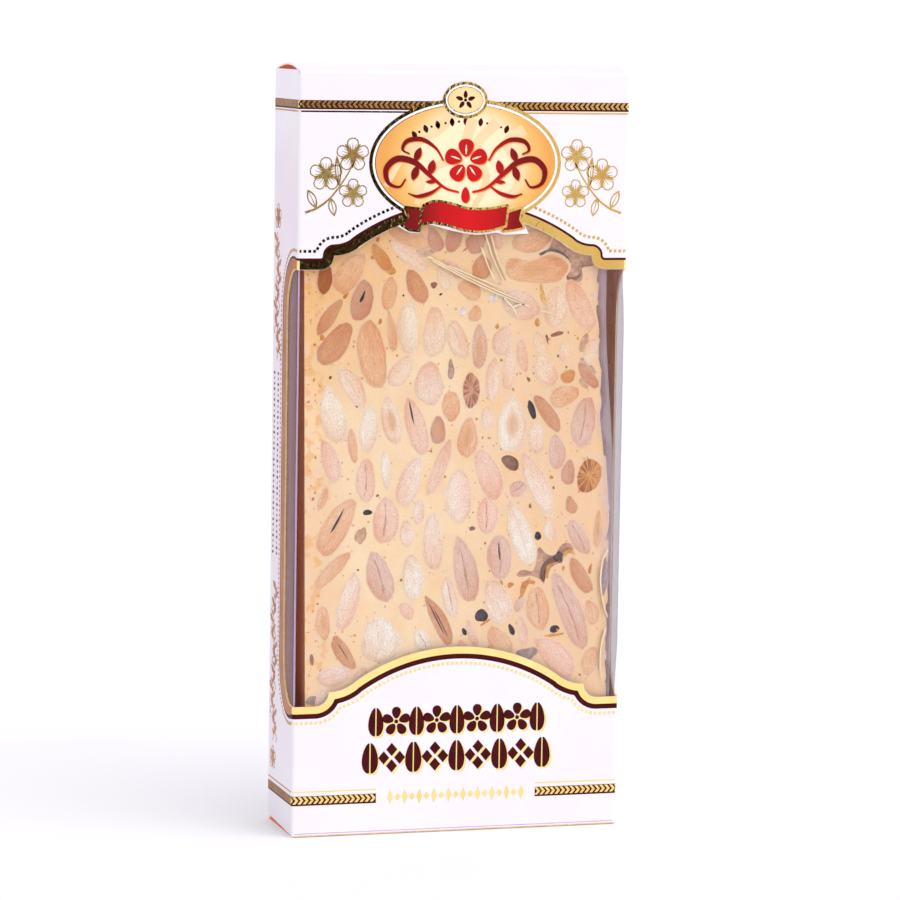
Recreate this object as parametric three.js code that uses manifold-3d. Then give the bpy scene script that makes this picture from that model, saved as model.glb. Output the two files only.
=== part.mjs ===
// A bar of almond nougat in an upright folding carton with a window.
//
// The window is cut out of the front panel and runs round both front folds into the
// side panels. A clear film is glued behind it, and the bar stands inside in a clear wrap.
//
// Units are millimetres and +Z is up. The window faces -Y and +X is to its right. The
// origin is the middle of the base.

import * as THREE from 'three';
import { mergeVertices } from 'three/addons/utils/BufferGeometryUtils.js';
import Module from 'manifold-3d';

// ---- Driving dimensions -------------------------------------------------------------

// Carton
const CARTON_WIDTH = 96;
const CARTON_DEPTH = 27.6;
const BOARD = 0.5;                 // thickness of the folding board
const CORNER_RADIUS = 0.9;         // outside radius of the four upright folds
const SIDE_TOP = 214.9;            // upper edge of the side and back panels
const LID_FOLD_Z = 213.8;          // where the front panel starts to turn into the lid
const LID_FOLD_RADIUS = 1.4;
const LID_CREST = 216.7;           // the lid bows up between its two folds
const TUCK_Y = 13;                 // outer face of the flaps tucked in behind the back panel
const TUCK_LENGTH = 14;
const BASE_FOLD_RADIUS = 0.9;
const DUST_FLAP_LENGTH = 20;
const DUST_FLAP_DROP = 3;          // the upper dust flaps sag by this at their free edge
const DUST_FLAP_FRONT_Y = -11.8;
const DUST_FLAP_REAR_Y = 11.9;
const BASE_SLIT_NEAR = 0.2;        // height of the slit above the base, at the front
const BASE_SLIT_FAR = 1.2;         // and at the back
const BASE_FLAP_Z = 1.7;           // underside of the lower dust flaps

// Window
const WINDOW_LOW = 37.2;           // lower cut edge at the upright folds
const WINDOW_HIGH = 159.7;         // upper cut edge at the upright folds
const SHOULDER_X = 41.5;           // where the straight stretch of a cut edge ends
const SHOULDER_RADIUS = 3.9;
const HOLLOW_RADIUS = 12;          // reverse arc between shoulder and crown
const CROWN_RADIUS = 54;
const CROWN_RISE = 15.8;           // crown above the straight stretch
const CROWN_TANGENT_X = 30.8;      // where the reverse arc meets the crown
const SIDE_WINDOW_LEFT = 11.9;     // how far the window reaches into the left side panel
const SIDE_WINDOW_RIGHT = 7;       // and into the right one
const SIDE_CORNER_DEPTH = 9;       // half axes of its rounded rear corners
const SIDE_CORNER_HEIGHT = 13.5;

// Lower outline of the ribbon, which hangs into the window: left tail, body, right tail
const RIBBON_LEFT_TAIL = [[-19.6, 172], [-17.8, 170.9], [-16, 170.1], [-13.1, 169.9]];
const RIBBON_BODY = [[-12.6, 172], [-10, 172.3], [-3.6, 170.6], [3.4, 169.5], [9.4, 170.1]];
const RIBBON_RIGHT_TAIL = [[11.6, 169.5], [18.8, 169.8], [17.5, 172.5]];

// Window film
const FILM = 0.2;
const FILM_GAP = 0.3;              // between the film and the board
const FILM_FOLD_RADIUS = 2.4;
const FILM_LOW = 28;
const FILM_HIGH = 186;
const FILM_REAR_Y = 5;

// Wrap round the bar
const WRAP = 0.25;
const WRAP_GAP = 0.3;
const WRAP_EDGE_ROUND = 0.7;
const WRAP_RIGHT_LOW = 45.9;       // what the wrap's right side clears, from the foot
const WRAP_STRAIGHT_TO = 75;       // up to this height
const WRAP_RIGHT_HIGH = 42.5;      // and at its upper end

// Nougat bar
const BAR_LOW = 3;
const BAR_HIGH = 203;
const BAR_FRONT_Y = -11.6;
const BAR_THICKNESS = 22;
const BAR_LEFT_X = -43.5;          // left edge at the foot of the bar
const BAR_LEAN = 0.0131;           // how much the left edge leans out for each mm of height
const BAR_RIGHT_X = 45.2;          // right edge over its lower, full width
const TAPER_FROM = 60;             // above this the ragged right edge draws in
const TAPER = 0.046;
const BAR_EDGE_ROUND = 0.8;
const RAGGED_WAVES = [[0.35, 3.3, 1], [0.25, 1.7, 0]];   // size, length and start of each wave
const NOTCH_DEPTH = 0.9;           // crumbled notches in the ragged edge
const NOTCH_LENGTH = 5.4;

// Almonds in the cut face, from the top of the window down: centre x and z, length, width
// and lean (degrees, top to the right)
const LARGE_ALMONDS = [
  [-15.5, 168.7, 14, 5.3, -68], [-7.9, 168, 7.5, 4.4, -25], [-2.6, 168.4, 8, 5, 12],
  [4.2, 167.2, 7, 5.6, 35], [20.5, 167.7, 12, 6.5, 80], [-15, 163.3, 13.5, 4.1, -57],
  [5.8, 160.3, 7, 5.8, 10], [21.3, 159.5, 19, 8, 88], [-39.7, 157.3, 9, 4.4, 4],
  [-32.3, 158.8, 13, 7.2, 35], [-21, 153, 9.8, 4.6, 8], [-13, 155, 10.5, 5.4, -28],
  [2.3, 153.7, 7.5, 4.8, -60], [17.5, 149.8, 12.3, 8.4, -65], [28, 149, 12, 7.1, 5],
  [35.2, 149.5, 16, 6.6, -28], [-29, 151, 11.8, 6.6, 12], [-38, 146.6, 12.3, 4.1, 35],
  [-36.5, 139, 14, 7.2, 38], [-25.6, 136.1, 19.6, 8.2, -10], [-20.2, 142.4, 12, 2.9, -8],
  [-15.3, 143.4, 14.5, 6.1, 0], [-7.7, 142.1, 14.3, 6.8, 2], [-0.8, 140, 11.8, 5.8, -20],
  [5.5, 137.8, 12.8, 4.6, 0], [12.4, 139.6, 8.5, 5.7, 15], [4.1, 147.2, 4.8, 3.8, 20],
  [18.4, 135.2, 9.8, 3.3, -10], [14.4, 131.1, 11.3, 3.7, 3], [9.7, 128.6, 12.8, 4, 3],
  [23.4, 139, 6.3, 3.9, -15], [25.3, 131.2, 10.3, 6.3, -25], [30.5, 136.1, 5.3, 2.8, 0],
  [38.7, 136.4, 8, 4.1, 12], [32, 129.3, 4.8, 3.8, 60], [37.9, 129.4, 9.3, 3.6, -38],
  [-17.3, 131.2, 10, 5.8, 35], [-8.9, 127.6, 12.6, 8.4, -3], [-31.3, 127, 13, 5.5, -32],
  [-36.7, 119, 16.2, 6.9, -14], [3.3, 125.6, 10.3, 5.1, 0], [31, 123.7, 9.2, 6.1, 70],
  [-26.3, 115.1, 13, 5.3, 5], [-19.8, 117.2, 14, 5.8, -13], [-12.7, 115.7, 17, 5.9, -17],
  [-6.2, 114.4, 8, 4.5, 0], [-2.5, 121.2, 8.8, 5.5, -3], [2.6, 112.2, 11.6, 6, 5],
  [8.1, 117.7, 6.7, 3.4, 0], [15.6, 115.6, 15.8, 8.7, 2], [22.9, 111.8, 9.6, 4.6, -3],
  [26, 118.8, 12.8, 4.3, -36], [36.9, 116.3, 14.6, 7.2, 8], [29, 107.8, 10.3, 5.1, -5],
  [-31, 110.3, 10, 2.8, -8], [-37.4, 106.2, 12.4, 4.9, -18], [-27, 100.6, 12.6, 5.7, 0],
  [-21.2, 103.4, 11.6, 2.6, -5], [-14.1, 100, 14.6, 6.4, 18], [-5.6, 103.9, 17, 4, 22],
  [0.2, 95.6, 15.8, 7.9, 0], [8.7, 101.9, 15.5, 6.8, -22], [17.6, 97.4, 5.4, 4.5, 60],
  [23.3, 98.6, 20.8, 5.8, -25], [32.6, 101.8, 7.4, 4.2, 5], [38.7, 100.8, 10, 7.2, 15],
  [33.6, 92.5, 5.5, 3.4, -20], [-39.4, 95.6, 7, 2.6, 20], [-35.4, 87.4, 18, 7.6, 30],
  [-21.2, 89.3, 13.3, 7.7, 3], [-14.9, 85.3, 7.8, 4.1, -5], [-11.5, 91.4, 7.4, 3.2, 5],
  [-7.1, 82.8, 16.4, 5.8, -3], [8.6, 90, 10.8, 6.3, 0], [18.7, 84.8, 19.4, 6.3, -20],
  [27.3, 85.2, 6, 3.7, -10], [36.1, 83.2, 11.5, 5.2, -30], [41.7, 85.4, 11.2, 2.7, 3],
  [-36.3, 75.4, 13.8, 4.2, 45], [-31.7, 66.4, 17, 5.9, 15], [-22.6, 73.3, 15, 7.5, -18],
  [-13.1, 72.9, 12.8, 6.1, -3], [-1.9, 67, 12, 4.3, -12], [2.3, 74.6, 19.4, 7, -12],
  [12.7, 78, 12.8, 7.4, -3], [12, 65.3, 13.4, 7.4, -18], [24.3, 63.1, 13, 7, -8],
  [33.7, 61.8, 24, 7, -23], [36.7, 72.2, 11.8, 4.6, -30], [40.3, 61.4, 7.6, 4.2, -15],
  [-38.9, 60.6, 10, 4.3, -5], [-22.4, 55.4, 12.8, 11.2, 0], [-33, 51.9, 11.4, 4.5, -33],
  [-5.2, 60.3, 16.2, 4.5, -28], [-9.8, 54.9, 7, 4.6, -30], [-14.7, 63.3, 5.6, 3.6, -35],
  [12.9, 54, 10, 6.1, -40], [19.7, 56.7, 9, 2.9, -10], [4.7, 56.6, 8, 2.6, -20],
  [29.6, 49, 16, 7.4, -45], [40.1, 47.4, 8.8, 4.8, 15], [-35.6, 45.5, 10, 5.4, 78],
];

// Open bubbles in the cut face, in the same terms
const BUBBLES = [
  [21.3, 119.9, 5.6, 2, -20], [7.4, 61.4, 3.8, 3.7, 0], [2.4, 56.9, 2.2, 1.3, -20],
  [16.4, 57.1, 3.4, 1.6, -25], [29.3, 56.9, 3, 2.1, 70], [23.8, 83.8, 2.6, 1.9, 0],
  [-26.4, 91.5, 2.6, 1.6, 90], [15.2, 104.9, 5.6, 3.8, -60], [29.8, 164.4, 8, 2.4, -65],
  [26.2, 75.6, 9.5, 3.4, 25], [31.6, 79.4, 4.6, 2.8, 60], [19.8, 73.2, 4.6, 1.9, 80],
];

const SMALL_ALMOND_LENGTHS = [14, 12, 10, 8, 6];   // tried from the largest down
const DRAWS_PER_LENGTH = 400;
const ALMOND_LIMIT = 180;          // large and small ones together
const ALMOND_GAP = 0.5;            // nougat left between two almonds
const ALMOND_SIDES = 11;
const ALMOND_FULLNESS = 0.22;      // how much wider the lower half of an almond is
const ALMOND_PROUD = 0.2;          // the hard almonds stand this far out of the cut face
const ALMOND_SUNK = 0.6;
const BUBBLE_DEPTH = 1.3;
const EDGE_MARGIN = 1.1;           // nougat left between an almond and the bar's edge
const SEED = 20117;

const HALF_WIDTH = CARTON_WIDTH / 2;
const HALF_DEPTH = CARTON_DEPTH / 2;

// ---- Solids and sections ------------------------------------------------------------

const wasm = await Module();
wasm.setup();

/** A closed three.js geometry as a solid that can be joined and cut. */
function toSolid(geometry) {
  geometry.deleteAttribute('normal');
  geometry.deleteAttribute('uv');
  const merged = mergeVertices(geometry, 1e-4);
  const vertProperties = new Float32Array(merged.attributes.position.array);
  const triVerts = new Uint32Array(merged.index.array);
  return new wasm.Manifold(new wasm.Mesh({ numProp: 3, vertProperties, triVerts }));
}

/** The surface of a solid as a three.js geometry with flat faces. */
function toGeometry(solid) {
  const mesh = solid.getMesh();
  const geometry = new THREE.BufferGeometry();
  geometry.setAttribute('position', new THREE.BufferAttribute(mesh.vertProperties, 3));
  geometry.setIndex(new THREE.BufferAttribute(mesh.triVerts, 1));
  geometry.computeVertexNormals();
  return geometry;
}

const joinAll = (solids) => solids.reduce((sum, solid) => sum.add(solid));

/** Points of an arc about (u, v), from one angle to another, in degrees. */
function arc(u, v, radiusU, from, to, steps, radiusV = radiusU) {
  return Array.from({ length: steps + 1 }, (_, i) => {
    const angle = THREE.MathUtils.degToRad(from + ((to - from) * i) / steps);
    return [u + radiusU * Math.cos(angle), v + radiusV * Math.sin(angle)];
  });
}

/** A smooth curve through a few points, sampled in even steps. */
function smooth(points, steps) {
  const curve = new THREE.SplineCurve(points.map(([u, v]) => new THREE.Vector2(u, v)));
  return curve.getPoints(steps).map((point) => [point.x, point.y]);
}

/** A prism of a section: 'x', 'y' or 'z' names its axis, and the section lies across it. */
function prism(points, axis, from, to, bevel = 0) {
  const shape = new THREE.Shape(points.map(([u, v]) => new THREE.Vector2(u, v)));
  const geometry = new THREE.ExtrudeGeometry(shape, {
    depth: to - from - 2 * bevel,
    bevelEnabled: bevel > 0,
    bevelThickness: bevel,
    bevelSize: bevel,
    bevelOffset: -bevel,
    bevelSegments: 1,
  });
  geometry.translate(0, 0, axis === 'y' ? -to + bevel : from + bevel);
  const turn = new THREE.Matrix4();
  if (axis === 'x') {
    turn.makeBasis(new THREE.Vector3(0, 1, 0), new THREE.Vector3(0, 0, 1), new THREE.Vector3(1, 0, 0));
  }
  if (axis === 'y') {
    turn.makeBasis(new THREE.Vector3(1, 0, 0), new THREE.Vector3(0, 0, 1), new THREE.Vector3(0, -1, 0));
  }
  geometry.applyMatrix4(turn);
  return toSolid(geometry);
}

/** A block between two corners. */
function block(x0, y0, z0, x1, y1, z1) {
  const geometry = new THREE.BoxGeometry(x1 - x0, y1 - y0, z1 - z0);
  geometry.translate((x0 + x1) / 2, (y0 + y1) / 2, (z0 + z1) / 2);
  return toSolid(geometry);
}

/** The outline of a strip of sheet, from its one face: the other lies to its left. */
function strip(face, thickness) {
  const other = face.map(([u, v], i) => {
    const [u0, v0] = face[Math.max(i - 1, 0)];
    const [u1, v1] = face[Math.min(i + 1, face.length - 1)];
    const length = Math.hypot(u1 - u0, v1 - v0);
    return [u - ((v1 - v0) / length) * thickness, v + ((u1 - u0) / length) * thickness];
  });
  return [...face, ...other.reverse()];
}

// ---- Carton -------------------------------------------------------------------------

/** Plan of the carton, inset by a distance. The glued seam at the back left stays sharp. */
function cartonPlan(inset) {
  const x = HALF_WIDTH - inset;
  const y = HALF_DEPTH - inset;
  const radius = CORNER_RADIUS - inset;
  return [
    ...arc(-x + radius, -y + radius, radius, 180, 270, 4),
    ...arc(x - radius, -y + radius, radius, -90, 0, 4),
    ...arc(x - radius, y - radius, radius, 0, 90, 4),
    [-x, y],
  ];
}

/** The four upright panels. */
function tube() {
  const walls = prism(cartonPlan(0), 'z', 0, SIDE_TOP)
    .subtract(prism(cartonPlan(BOARD), 'z', -1, SIDE_TOP + 1));
  const foldLine = -HALF_DEPTH + CORNER_RADIUS;
  const span = HALF_WIDTH + 1;
  return walls
    .subtract(block(-span, -HALF_DEPTH - 1, LID_FOLD_Z, span, foldLine, SIDE_TOP + 1))
    .subtract(block(-span, -HALF_DEPTH - 1, -1, span, foldLine, BASE_FOLD_RADIUS));
}

/** Base, front panel and lid are one strip of board with a tuck flap at each end. */
function wrapAround() {
  const front = -HALF_DEPTH;
  const lidStart = [front + LID_FOLD_RADIUS, LID_FOLD_Z + LID_FOLD_RADIUS];
  const lidEnd = TUCK_Y - CORNER_RADIUS;
  const middle = (lidStart[0] + lidEnd) / 2;
  const reach = middle - lidStart[0];
  const bow = Array.from({ length: 11 }, (_, i) => {
    const y = lidStart[0] + 0.5 + ((lidEnd - lidStart[0] - 1) * (i + 0.5)) / 11;
    return [y, LID_CREST - (LID_CREST - lidStart[1]) * ((y - middle) / reach) ** 2];
  });
  const outside = [
    [TUCK_Y, TUCK_LENGTH],
    ...arc(TUCK_Y - BASE_FOLD_RADIUS, BASE_FOLD_RADIUS, BASE_FOLD_RADIUS, 0, -90, 4),
    ...arc(front + BASE_FOLD_RADIUS, BASE_FOLD_RADIUS, BASE_FOLD_RADIUS, -90, -180, 4),
    ...arc(front + LID_FOLD_RADIUS, LID_FOLD_Z, LID_FOLD_RADIUS, 180, 100, 5),
    ...bow,
    ...arc(TUCK_Y - CORNER_RADIUS, lidStart[1] - CORNER_RADIUS, CORNER_RADIUS, 80, 0, 4),
    [TUCK_Y, LID_CREST - TUCK_LENGTH],
  ];
  const sheet = prism(strip(outside, -BOARD), 'x', -HALF_WIDTH, HALF_WIDTH);
  return sheet.intersect(prism(cartonPlan(0), 'z', -1, LID_CREST + 1));
}

/** Dust flaps: folded in from the side panels, under the lid and over the base. */
function dustFlaps(side) {
  const wall = side * (HALF_WIDTH - BOARD / 2);
  const tip = wall - side * DUST_FLAP_LENGTH;
  const upper = [
    [wall, SIDE_TOP], [tip, SIDE_TOP - DUST_FLAP_DROP],
    [tip, SIDE_TOP - DUST_FLAP_DROP - BOARD], [wall, SIDE_TOP - BOARD],
  ];
  const lower = [
    [wall, BASE_FLAP_Z], [wall, BASE_FLAP_Z + BOARD],
    [tip, BASE_FLAP_Z + BOARD], [tip, BASE_FLAP_Z],
  ];
  const ordered = (points) => (side > 0 ? points : points.slice().reverse());
  return [upper, lower].map((section) => (
    prism(ordered(section), 'y', DUST_FLAP_FRONT_Y, DUST_FLAP_REAR_Y)
  ));
}

/** A cut edge of the window, from left to right: shoulder, hollow, crown, hollow, shoulder. */
function scallop(level) {
  const crown = level + CROWN_RISE - CROWN_RADIUS;
  const hollowX = SHOULDER_X - SHOULDER_RADIUS;
  const hollow = level + SHOULDER_RADIUS + HOLLOW_RADIUS;
  const join = THREE.MathUtils.radToDeg(Math.asin((hollowX - CROWN_TANGENT_X) / HOLLOW_RADIUS));
  const lean = THREE.MathUtils.radToDeg(Math.asin(CROWN_TANGENT_X / CROWN_RADIUS));
  const left = [
    [-HALF_WIDTH - 2, level],
    ...arc(-SHOULDER_X, level + SHOULDER_RADIUS, SHOULDER_RADIUS, -90, 0, 6),
    ...arc(-hollowX, hollow, HOLLOW_RADIUS, -90, -90 + join, 4).slice(1),
    ...arc(0, crown, CROWN_RADIUS, 90 + lean, 90, 12).slice(1),
  ];
  const right = left.slice(0, -1).map(([x, z]) => [-x, z]).reverse();
  return [...left, ...right];
}

/** The window in the front panel, as a cutter. The ribbon replaces the upper crown. */
function frontWindow() {
  const ribbon = [...RIBBON_LEFT_TAIL, ...smooth(RIBBON_BODY, 18), ...RIBBON_RIGHT_TAIL];
  const upper = scallop(WINDOW_HIGH);
  const upperLeft = upper.filter(([x]) => x < ribbon[0][0] - 0.5);
  const upperRight = upper.filter(([x]) => x > ribbon.at(-1)[0] + 0.5);
  const outline = [...scallop(WINDOW_LOW), ...[...upperLeft, ...ribbon, ...upperRight].reverse()];
  return prism(outline, 'y', -HALF_DEPTH - 1, -HALF_DEPTH + CORNER_RADIUS);
}

/** The window's end in a side panel, as a cutter with rounded rear corners. */
function sideWindow(side, depth) {
  const front = -HALF_DEPTH - 1;
  const round = Math.min(SIDE_CORNER_DEPTH, depth);
  const from = -HALF_DEPTH + depth - round;
  const outline = [
    [front, WINDOW_LOW],
    ...arc(from, WINDOW_LOW + SIDE_CORNER_HEIGHT, round, -90, 0, 6, SIDE_CORNER_HEIGHT),
    ...arc(from, WINDOW_HIGH - SIDE_CORNER_HEIGHT, round, 0, 90, 6, SIDE_CORNER_HEIGHT),
    [front, WINDOW_HIGH],
  ];
  const inner = HALF_WIDTH - CORNER_RADIUS;
  const outer = HALF_WIDTH + 1;
  return prism(outline, 'x', side > 0 ? inner : -outer, side > 0 ? outer : -inner);
}

/** The wedge of air between the base and the lower edge of a side panel. */
function baseSlit(side) {
  const outline = [
    [-HALF_DEPTH + CORNER_RADIUS, BOARD],
    [HALF_DEPTH + 1, BOARD],
    [HALF_DEPTH + 1, 2.4 * BASE_SLIT_FAR + BOARD],
    [HALF_DEPTH - 3 * BOARD, BASE_SLIT_FAR + BOARD],
    [-HALF_DEPTH + CORNER_RADIUS, BASE_SLIT_NEAR + BOARD],
  ];
  const inner = HALF_WIDTH - BOARD - 0.1;
  const outer = HALF_WIDTH + 1;
  return prism(outline, 'x', side > 0 ? inner : -outer, side > 0 ? outer : -inner);
}

function carton() {
  const board = joinAll([tube(), wrapAround()]);
  const cutters = [
    frontWindow(),
    sideWindow(-1, SIDE_WINDOW_LEFT), sideWindow(1, SIDE_WINDOW_RIGHT),
    baseSlit(-1), baseSlit(1),
  ];
  const cut = cutters.reduce((sum, cutter) => sum.subtract(cutter), board);
  return joinAll([cut, ...dustFlaps(-1), ...dustFlaps(1)]);
}

// ---- Window film --------------------------------------------------------------------

/** A channel of film: flat behind the front panel, with soft folds and two side wings. */
function windowFilm() {
  const x = HALF_WIDTH - BOARD - FILM_GAP;
  const y = -HALF_DEPTH + BOARD + FILM_GAP;
  const face = [
    [-x, FILM_REAR_Y],
    ...arc(-x + FILM_FOLD_RADIUS, y + FILM_FOLD_RADIUS, FILM_FOLD_RADIUS, 180, 270, 6),
    ...arc(x - FILM_FOLD_RADIUS, y + FILM_FOLD_RADIUS, FILM_FOLD_RADIUS, -90, 0, 6),
    [x, FILM_REAR_Y],
  ];
  return prism(strip(face, FILM), 'z', FILM_LOW, FILM_HIGH);
}

// ---- Nougat bar and its wrap --------------------------------------------------------

const barLeft = (z) => BAR_LEFT_X - BAR_LEAN * z;

/** Right edge of the bar: broken rather than cut, so it wanders and draws in upwards. */
function barRight(z) {
  const wander = RAGGED_WAVES.reduce((sum, [size, length, start]) => (
    sum + size * Math.sin(z / length + start)
  ), 0);
  const notch = NOTCH_DEPTH * Math.max(Math.sin(z / NOTCH_LENGTH - 1.1), 0) ** 4;
  return BAR_RIGHT_X - TAPER * Math.max(z - TAPER_FROM, 0) + wander - notch;
}

function barBody() {
  const steps = 56;
  const rightEdge = Array.from({ length: steps + 1 }, (_, i) => {
    const z = BAR_LOW + ((BAR_HIGH - BAR_LOW) * i) / steps;
    return [barRight(z), z];
  });
  const outline = [[barLeft(BAR_LOW), BAR_LOW], ...rightEdge, [barLeft(BAR_HIGH), BAR_HIGH]];
  return prism(outline, 'y', BAR_FRONT_Y, BAR_FRONT_Y + BAR_THICKNESS, BAR_EDGE_ROUND);
}

/** Open sleeve round the bar. Its right side runs straight past the ragged edge. */
function barWrap() {
  const hull = (gap, overrun) => {
    const low = BAR_LOW - overrun;
    const high = BAR_HIGH + overrun;
    const outline = [
      [barLeft(low) - gap, low], [WRAP_RIGHT_LOW + gap, low],
      [WRAP_RIGHT_LOW + gap, WRAP_STRAIGHT_TO],
      [WRAP_RIGHT_HIGH + gap, high], [barLeft(high) - gap, high],
    ];
    const front = BAR_FRONT_Y - ALMOND_PROUD - gap;
    const back = BAR_FRONT_Y + BAR_THICKNESS + gap;
    return prism(outline, 'y', front, back, WRAP_EDGE_ROUND);
  };
  const outer = hull(WRAP_GAP + WRAP, 0);
  return outer.subtract(hull(WRAP_GAP, 3));
}

/** Repeatable random numbers from 0 to 1. */
function drawFrom(seed) {
  let state = seed;
  return () => {
    state = (state * 48271) % 2147483647;
    return state / 2147483647;
  };
}

/** Outline of an almond: an oval that is fuller at its lower end. */
function almondOutline([x, z, length, width, lean], sides) {
  const tilt = THREE.MathUtils.degToRad(lean);
  return Array.from({ length: sides }, (_, i) => {
    const turn = (2 * Math.PI * (i + 0.25)) / sides;
    const along = (length / 2) * Math.sin(turn);
    const across = (width / 2) * Math.cos(turn) * (1 - ALMOND_FULLNESS * Math.sin(turn));
    return [
      x + across * Math.cos(tilt) + along * Math.sin(tilt),
      z - across * Math.sin(tilt) + along * Math.cos(tilt),
    ];
  });
}

/** Whether a point lies in an almond that is grown by a gap. */
function covers([x, z, length, width, lean], [px, pz], gap) {
  const tilt = THREE.MathUtils.degToRad(lean);
  const across = (px - x) * Math.cos(tilt) - (pz - z) * Math.sin(tilt);
  const along = (px - x) * Math.sin(tilt) + (pz - z) * Math.cos(tilt);
  return (along / (length / 2 + gap)) ** 2 + (across / (width / 2 + gap)) ** 2 < 1;
}

/** Whether two almonds come closer than the gap between them. */
function crowds(one, other) {
  const near = (one[2] + other[2]) / 2 + ALMOND_GAP;
  if (Math.hypot(one[0] - other[0], one[1] - other[1]) > near) {
    return false;
  }
  const touches = (a, b) => [a, ...almondOutline(a, 12)].some((point) => covers(b, point, ALMOND_GAP));
  return touches(one, other) || touches(other, one);
}

/** The almonds: the large ones first, then smaller ones drawn into the room that is left. */
function almonds() {
  const placed = LARGE_ALMONDS.slice();
  const draw = drawFrom(SEED);
  for (const size of SMALL_ALMOND_LENGTHS) {
    for (let i = 0; i < DRAWS_PER_LENGTH && placed.length < ALMOND_LIMIT; i += 1) {
      const length = size * (0.9 + 0.25 * draw());
      const width = length * (0.42 + 0.2 * draw());
      const lean = -12 + 70 * (draw() - 0.5);
      const z = BAR_LOW + (BAR_HIGH - BAR_LOW) * draw();
      const x = barLeft(z) + (barRight(z) - barLeft(z)) * draw();
      const almond = [x, z, length, width, lean];
      const inside = almondOutline(almond, 12).every(([u, v]) => (
        v > BAR_LOW + EDGE_MARGIN && v < BAR_HIGH - EDGE_MARGIN
        && u > barLeft(v) + 2 * EDGE_MARGIN && u < barRight(v) - EDGE_MARGIN
      ));
      if (inside && ![...placed, ...BUBBLES].some((other) => crowds(almond, other))) {
        placed.push(almond);
      }
    }
  }
  return placed;
}

function nougatBar() {
  const plugs = almonds().map((almond) => (
    prism(almondOutline(almond, ALMOND_SIDES), 'y', BAR_FRONT_Y - ALMOND_PROUD, BAR_FRONT_Y + ALMOND_SUNK)
  ));
  const pits = BUBBLES.map((bubble) => (
    prism(almondOutline(bubble, 9), 'y', BAR_FRONT_Y - 1, BAR_FRONT_Y + BUBBLE_DEPTH)
  ));
  return pits.reduce((sum, pit) => sum.subtract(pit), joinAll([barBody(), ...plugs]));
}

// ---- Finishes and the finished object -----------------------------------------------

const FINISHES = {
  board: { color: 0xf4f0fa, roughness: 0.42, metalness: 0 },
  film: { color: 0xd9d4e6, roughness: 0.12, metalness: 0, transparent: true, opacity: 0.3 },
  nougat: { color: 0xf5d7a4, roughness: 0.55, metalness: 0 },
};

function named(name, solid, finish) {
  const mesh = new THREE.Mesh(toGeometry(solid), new THREE.MeshStandardMaterial(FINISHES[finish]));
  mesh.name = name;
  return mesh;
}

const group = new THREE.Group();
group.add(named('carton', carton(), 'board'));
group.add(named('window_film', windowFilm(), 'film'));
group.add(named('bar_wrap', barWrap(), 'film'));
group.add(named('nougat_bar', nougatBar(), 'nougat'));

export default group;
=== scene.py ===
# %% [markdown]
# # A bar of almond nougat in a windowed carton
#
# This lesson dresses a finished CAD model. The CAD gives the folded carton, the clear film
# behind its window, the wrap and the bar, all at their real size. Blender gives them board
# fibres, printed ink, hot foil, creased film and cut almonds. Every size below is in
# millimetres, and a piece is scaled to metres only when its mesh is finished.

# %% Load the frame
import math

import bmesh
import bpy
from mathutils import Matrix, Vector
from mathutils.kdtree import KDTree


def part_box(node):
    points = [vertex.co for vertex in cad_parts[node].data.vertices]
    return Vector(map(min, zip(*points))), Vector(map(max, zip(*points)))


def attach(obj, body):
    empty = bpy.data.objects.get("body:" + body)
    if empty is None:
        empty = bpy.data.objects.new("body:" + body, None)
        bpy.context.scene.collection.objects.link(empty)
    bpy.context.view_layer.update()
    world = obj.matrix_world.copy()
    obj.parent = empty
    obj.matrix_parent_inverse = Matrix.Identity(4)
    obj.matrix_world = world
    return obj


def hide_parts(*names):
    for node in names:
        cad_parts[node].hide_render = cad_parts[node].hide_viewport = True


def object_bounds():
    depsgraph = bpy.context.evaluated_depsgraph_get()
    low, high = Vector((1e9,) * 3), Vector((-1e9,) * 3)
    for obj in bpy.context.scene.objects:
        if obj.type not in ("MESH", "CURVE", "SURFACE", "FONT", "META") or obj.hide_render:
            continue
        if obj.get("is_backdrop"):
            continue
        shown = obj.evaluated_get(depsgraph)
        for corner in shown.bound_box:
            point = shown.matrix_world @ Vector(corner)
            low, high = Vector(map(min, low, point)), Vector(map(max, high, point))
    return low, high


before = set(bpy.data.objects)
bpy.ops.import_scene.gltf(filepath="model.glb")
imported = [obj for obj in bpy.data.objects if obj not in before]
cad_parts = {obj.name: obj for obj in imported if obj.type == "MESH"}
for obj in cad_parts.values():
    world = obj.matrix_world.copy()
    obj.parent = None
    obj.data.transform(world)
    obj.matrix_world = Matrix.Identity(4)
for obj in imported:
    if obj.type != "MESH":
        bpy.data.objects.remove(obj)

MM = 0.001
CAD_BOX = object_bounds()
print("the CAD box in metres:", [tuple(round(v, 4) for v in corner) for corner in CAD_BOX])

# %% [markdown]
# ## The sizes that the print and the food share
#
# A carton starts as a flat sheet of board. Print is laid out on that sheet, so its sizes
# count along the sheet: the front panel first, then round a fold to a side panel. The
# outline of the window is the longest line of the design, and its bands all follow it.

# %% Driving sizes of the carton and its window
HALF_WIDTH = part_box("carton")[1].x / MM
HALF_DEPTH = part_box("carton")[1].y / MM
BOARD = 0.5
CORNER_RADIUS = 0.9
SEAM_RADIUS = 0.02                 # the glued seam at the back left is sharp
LID_FOLD_Z = 213.8
LID_FOLD_RADIUS = 1.4
LID_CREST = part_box("carton")[1].z / MM

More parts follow.
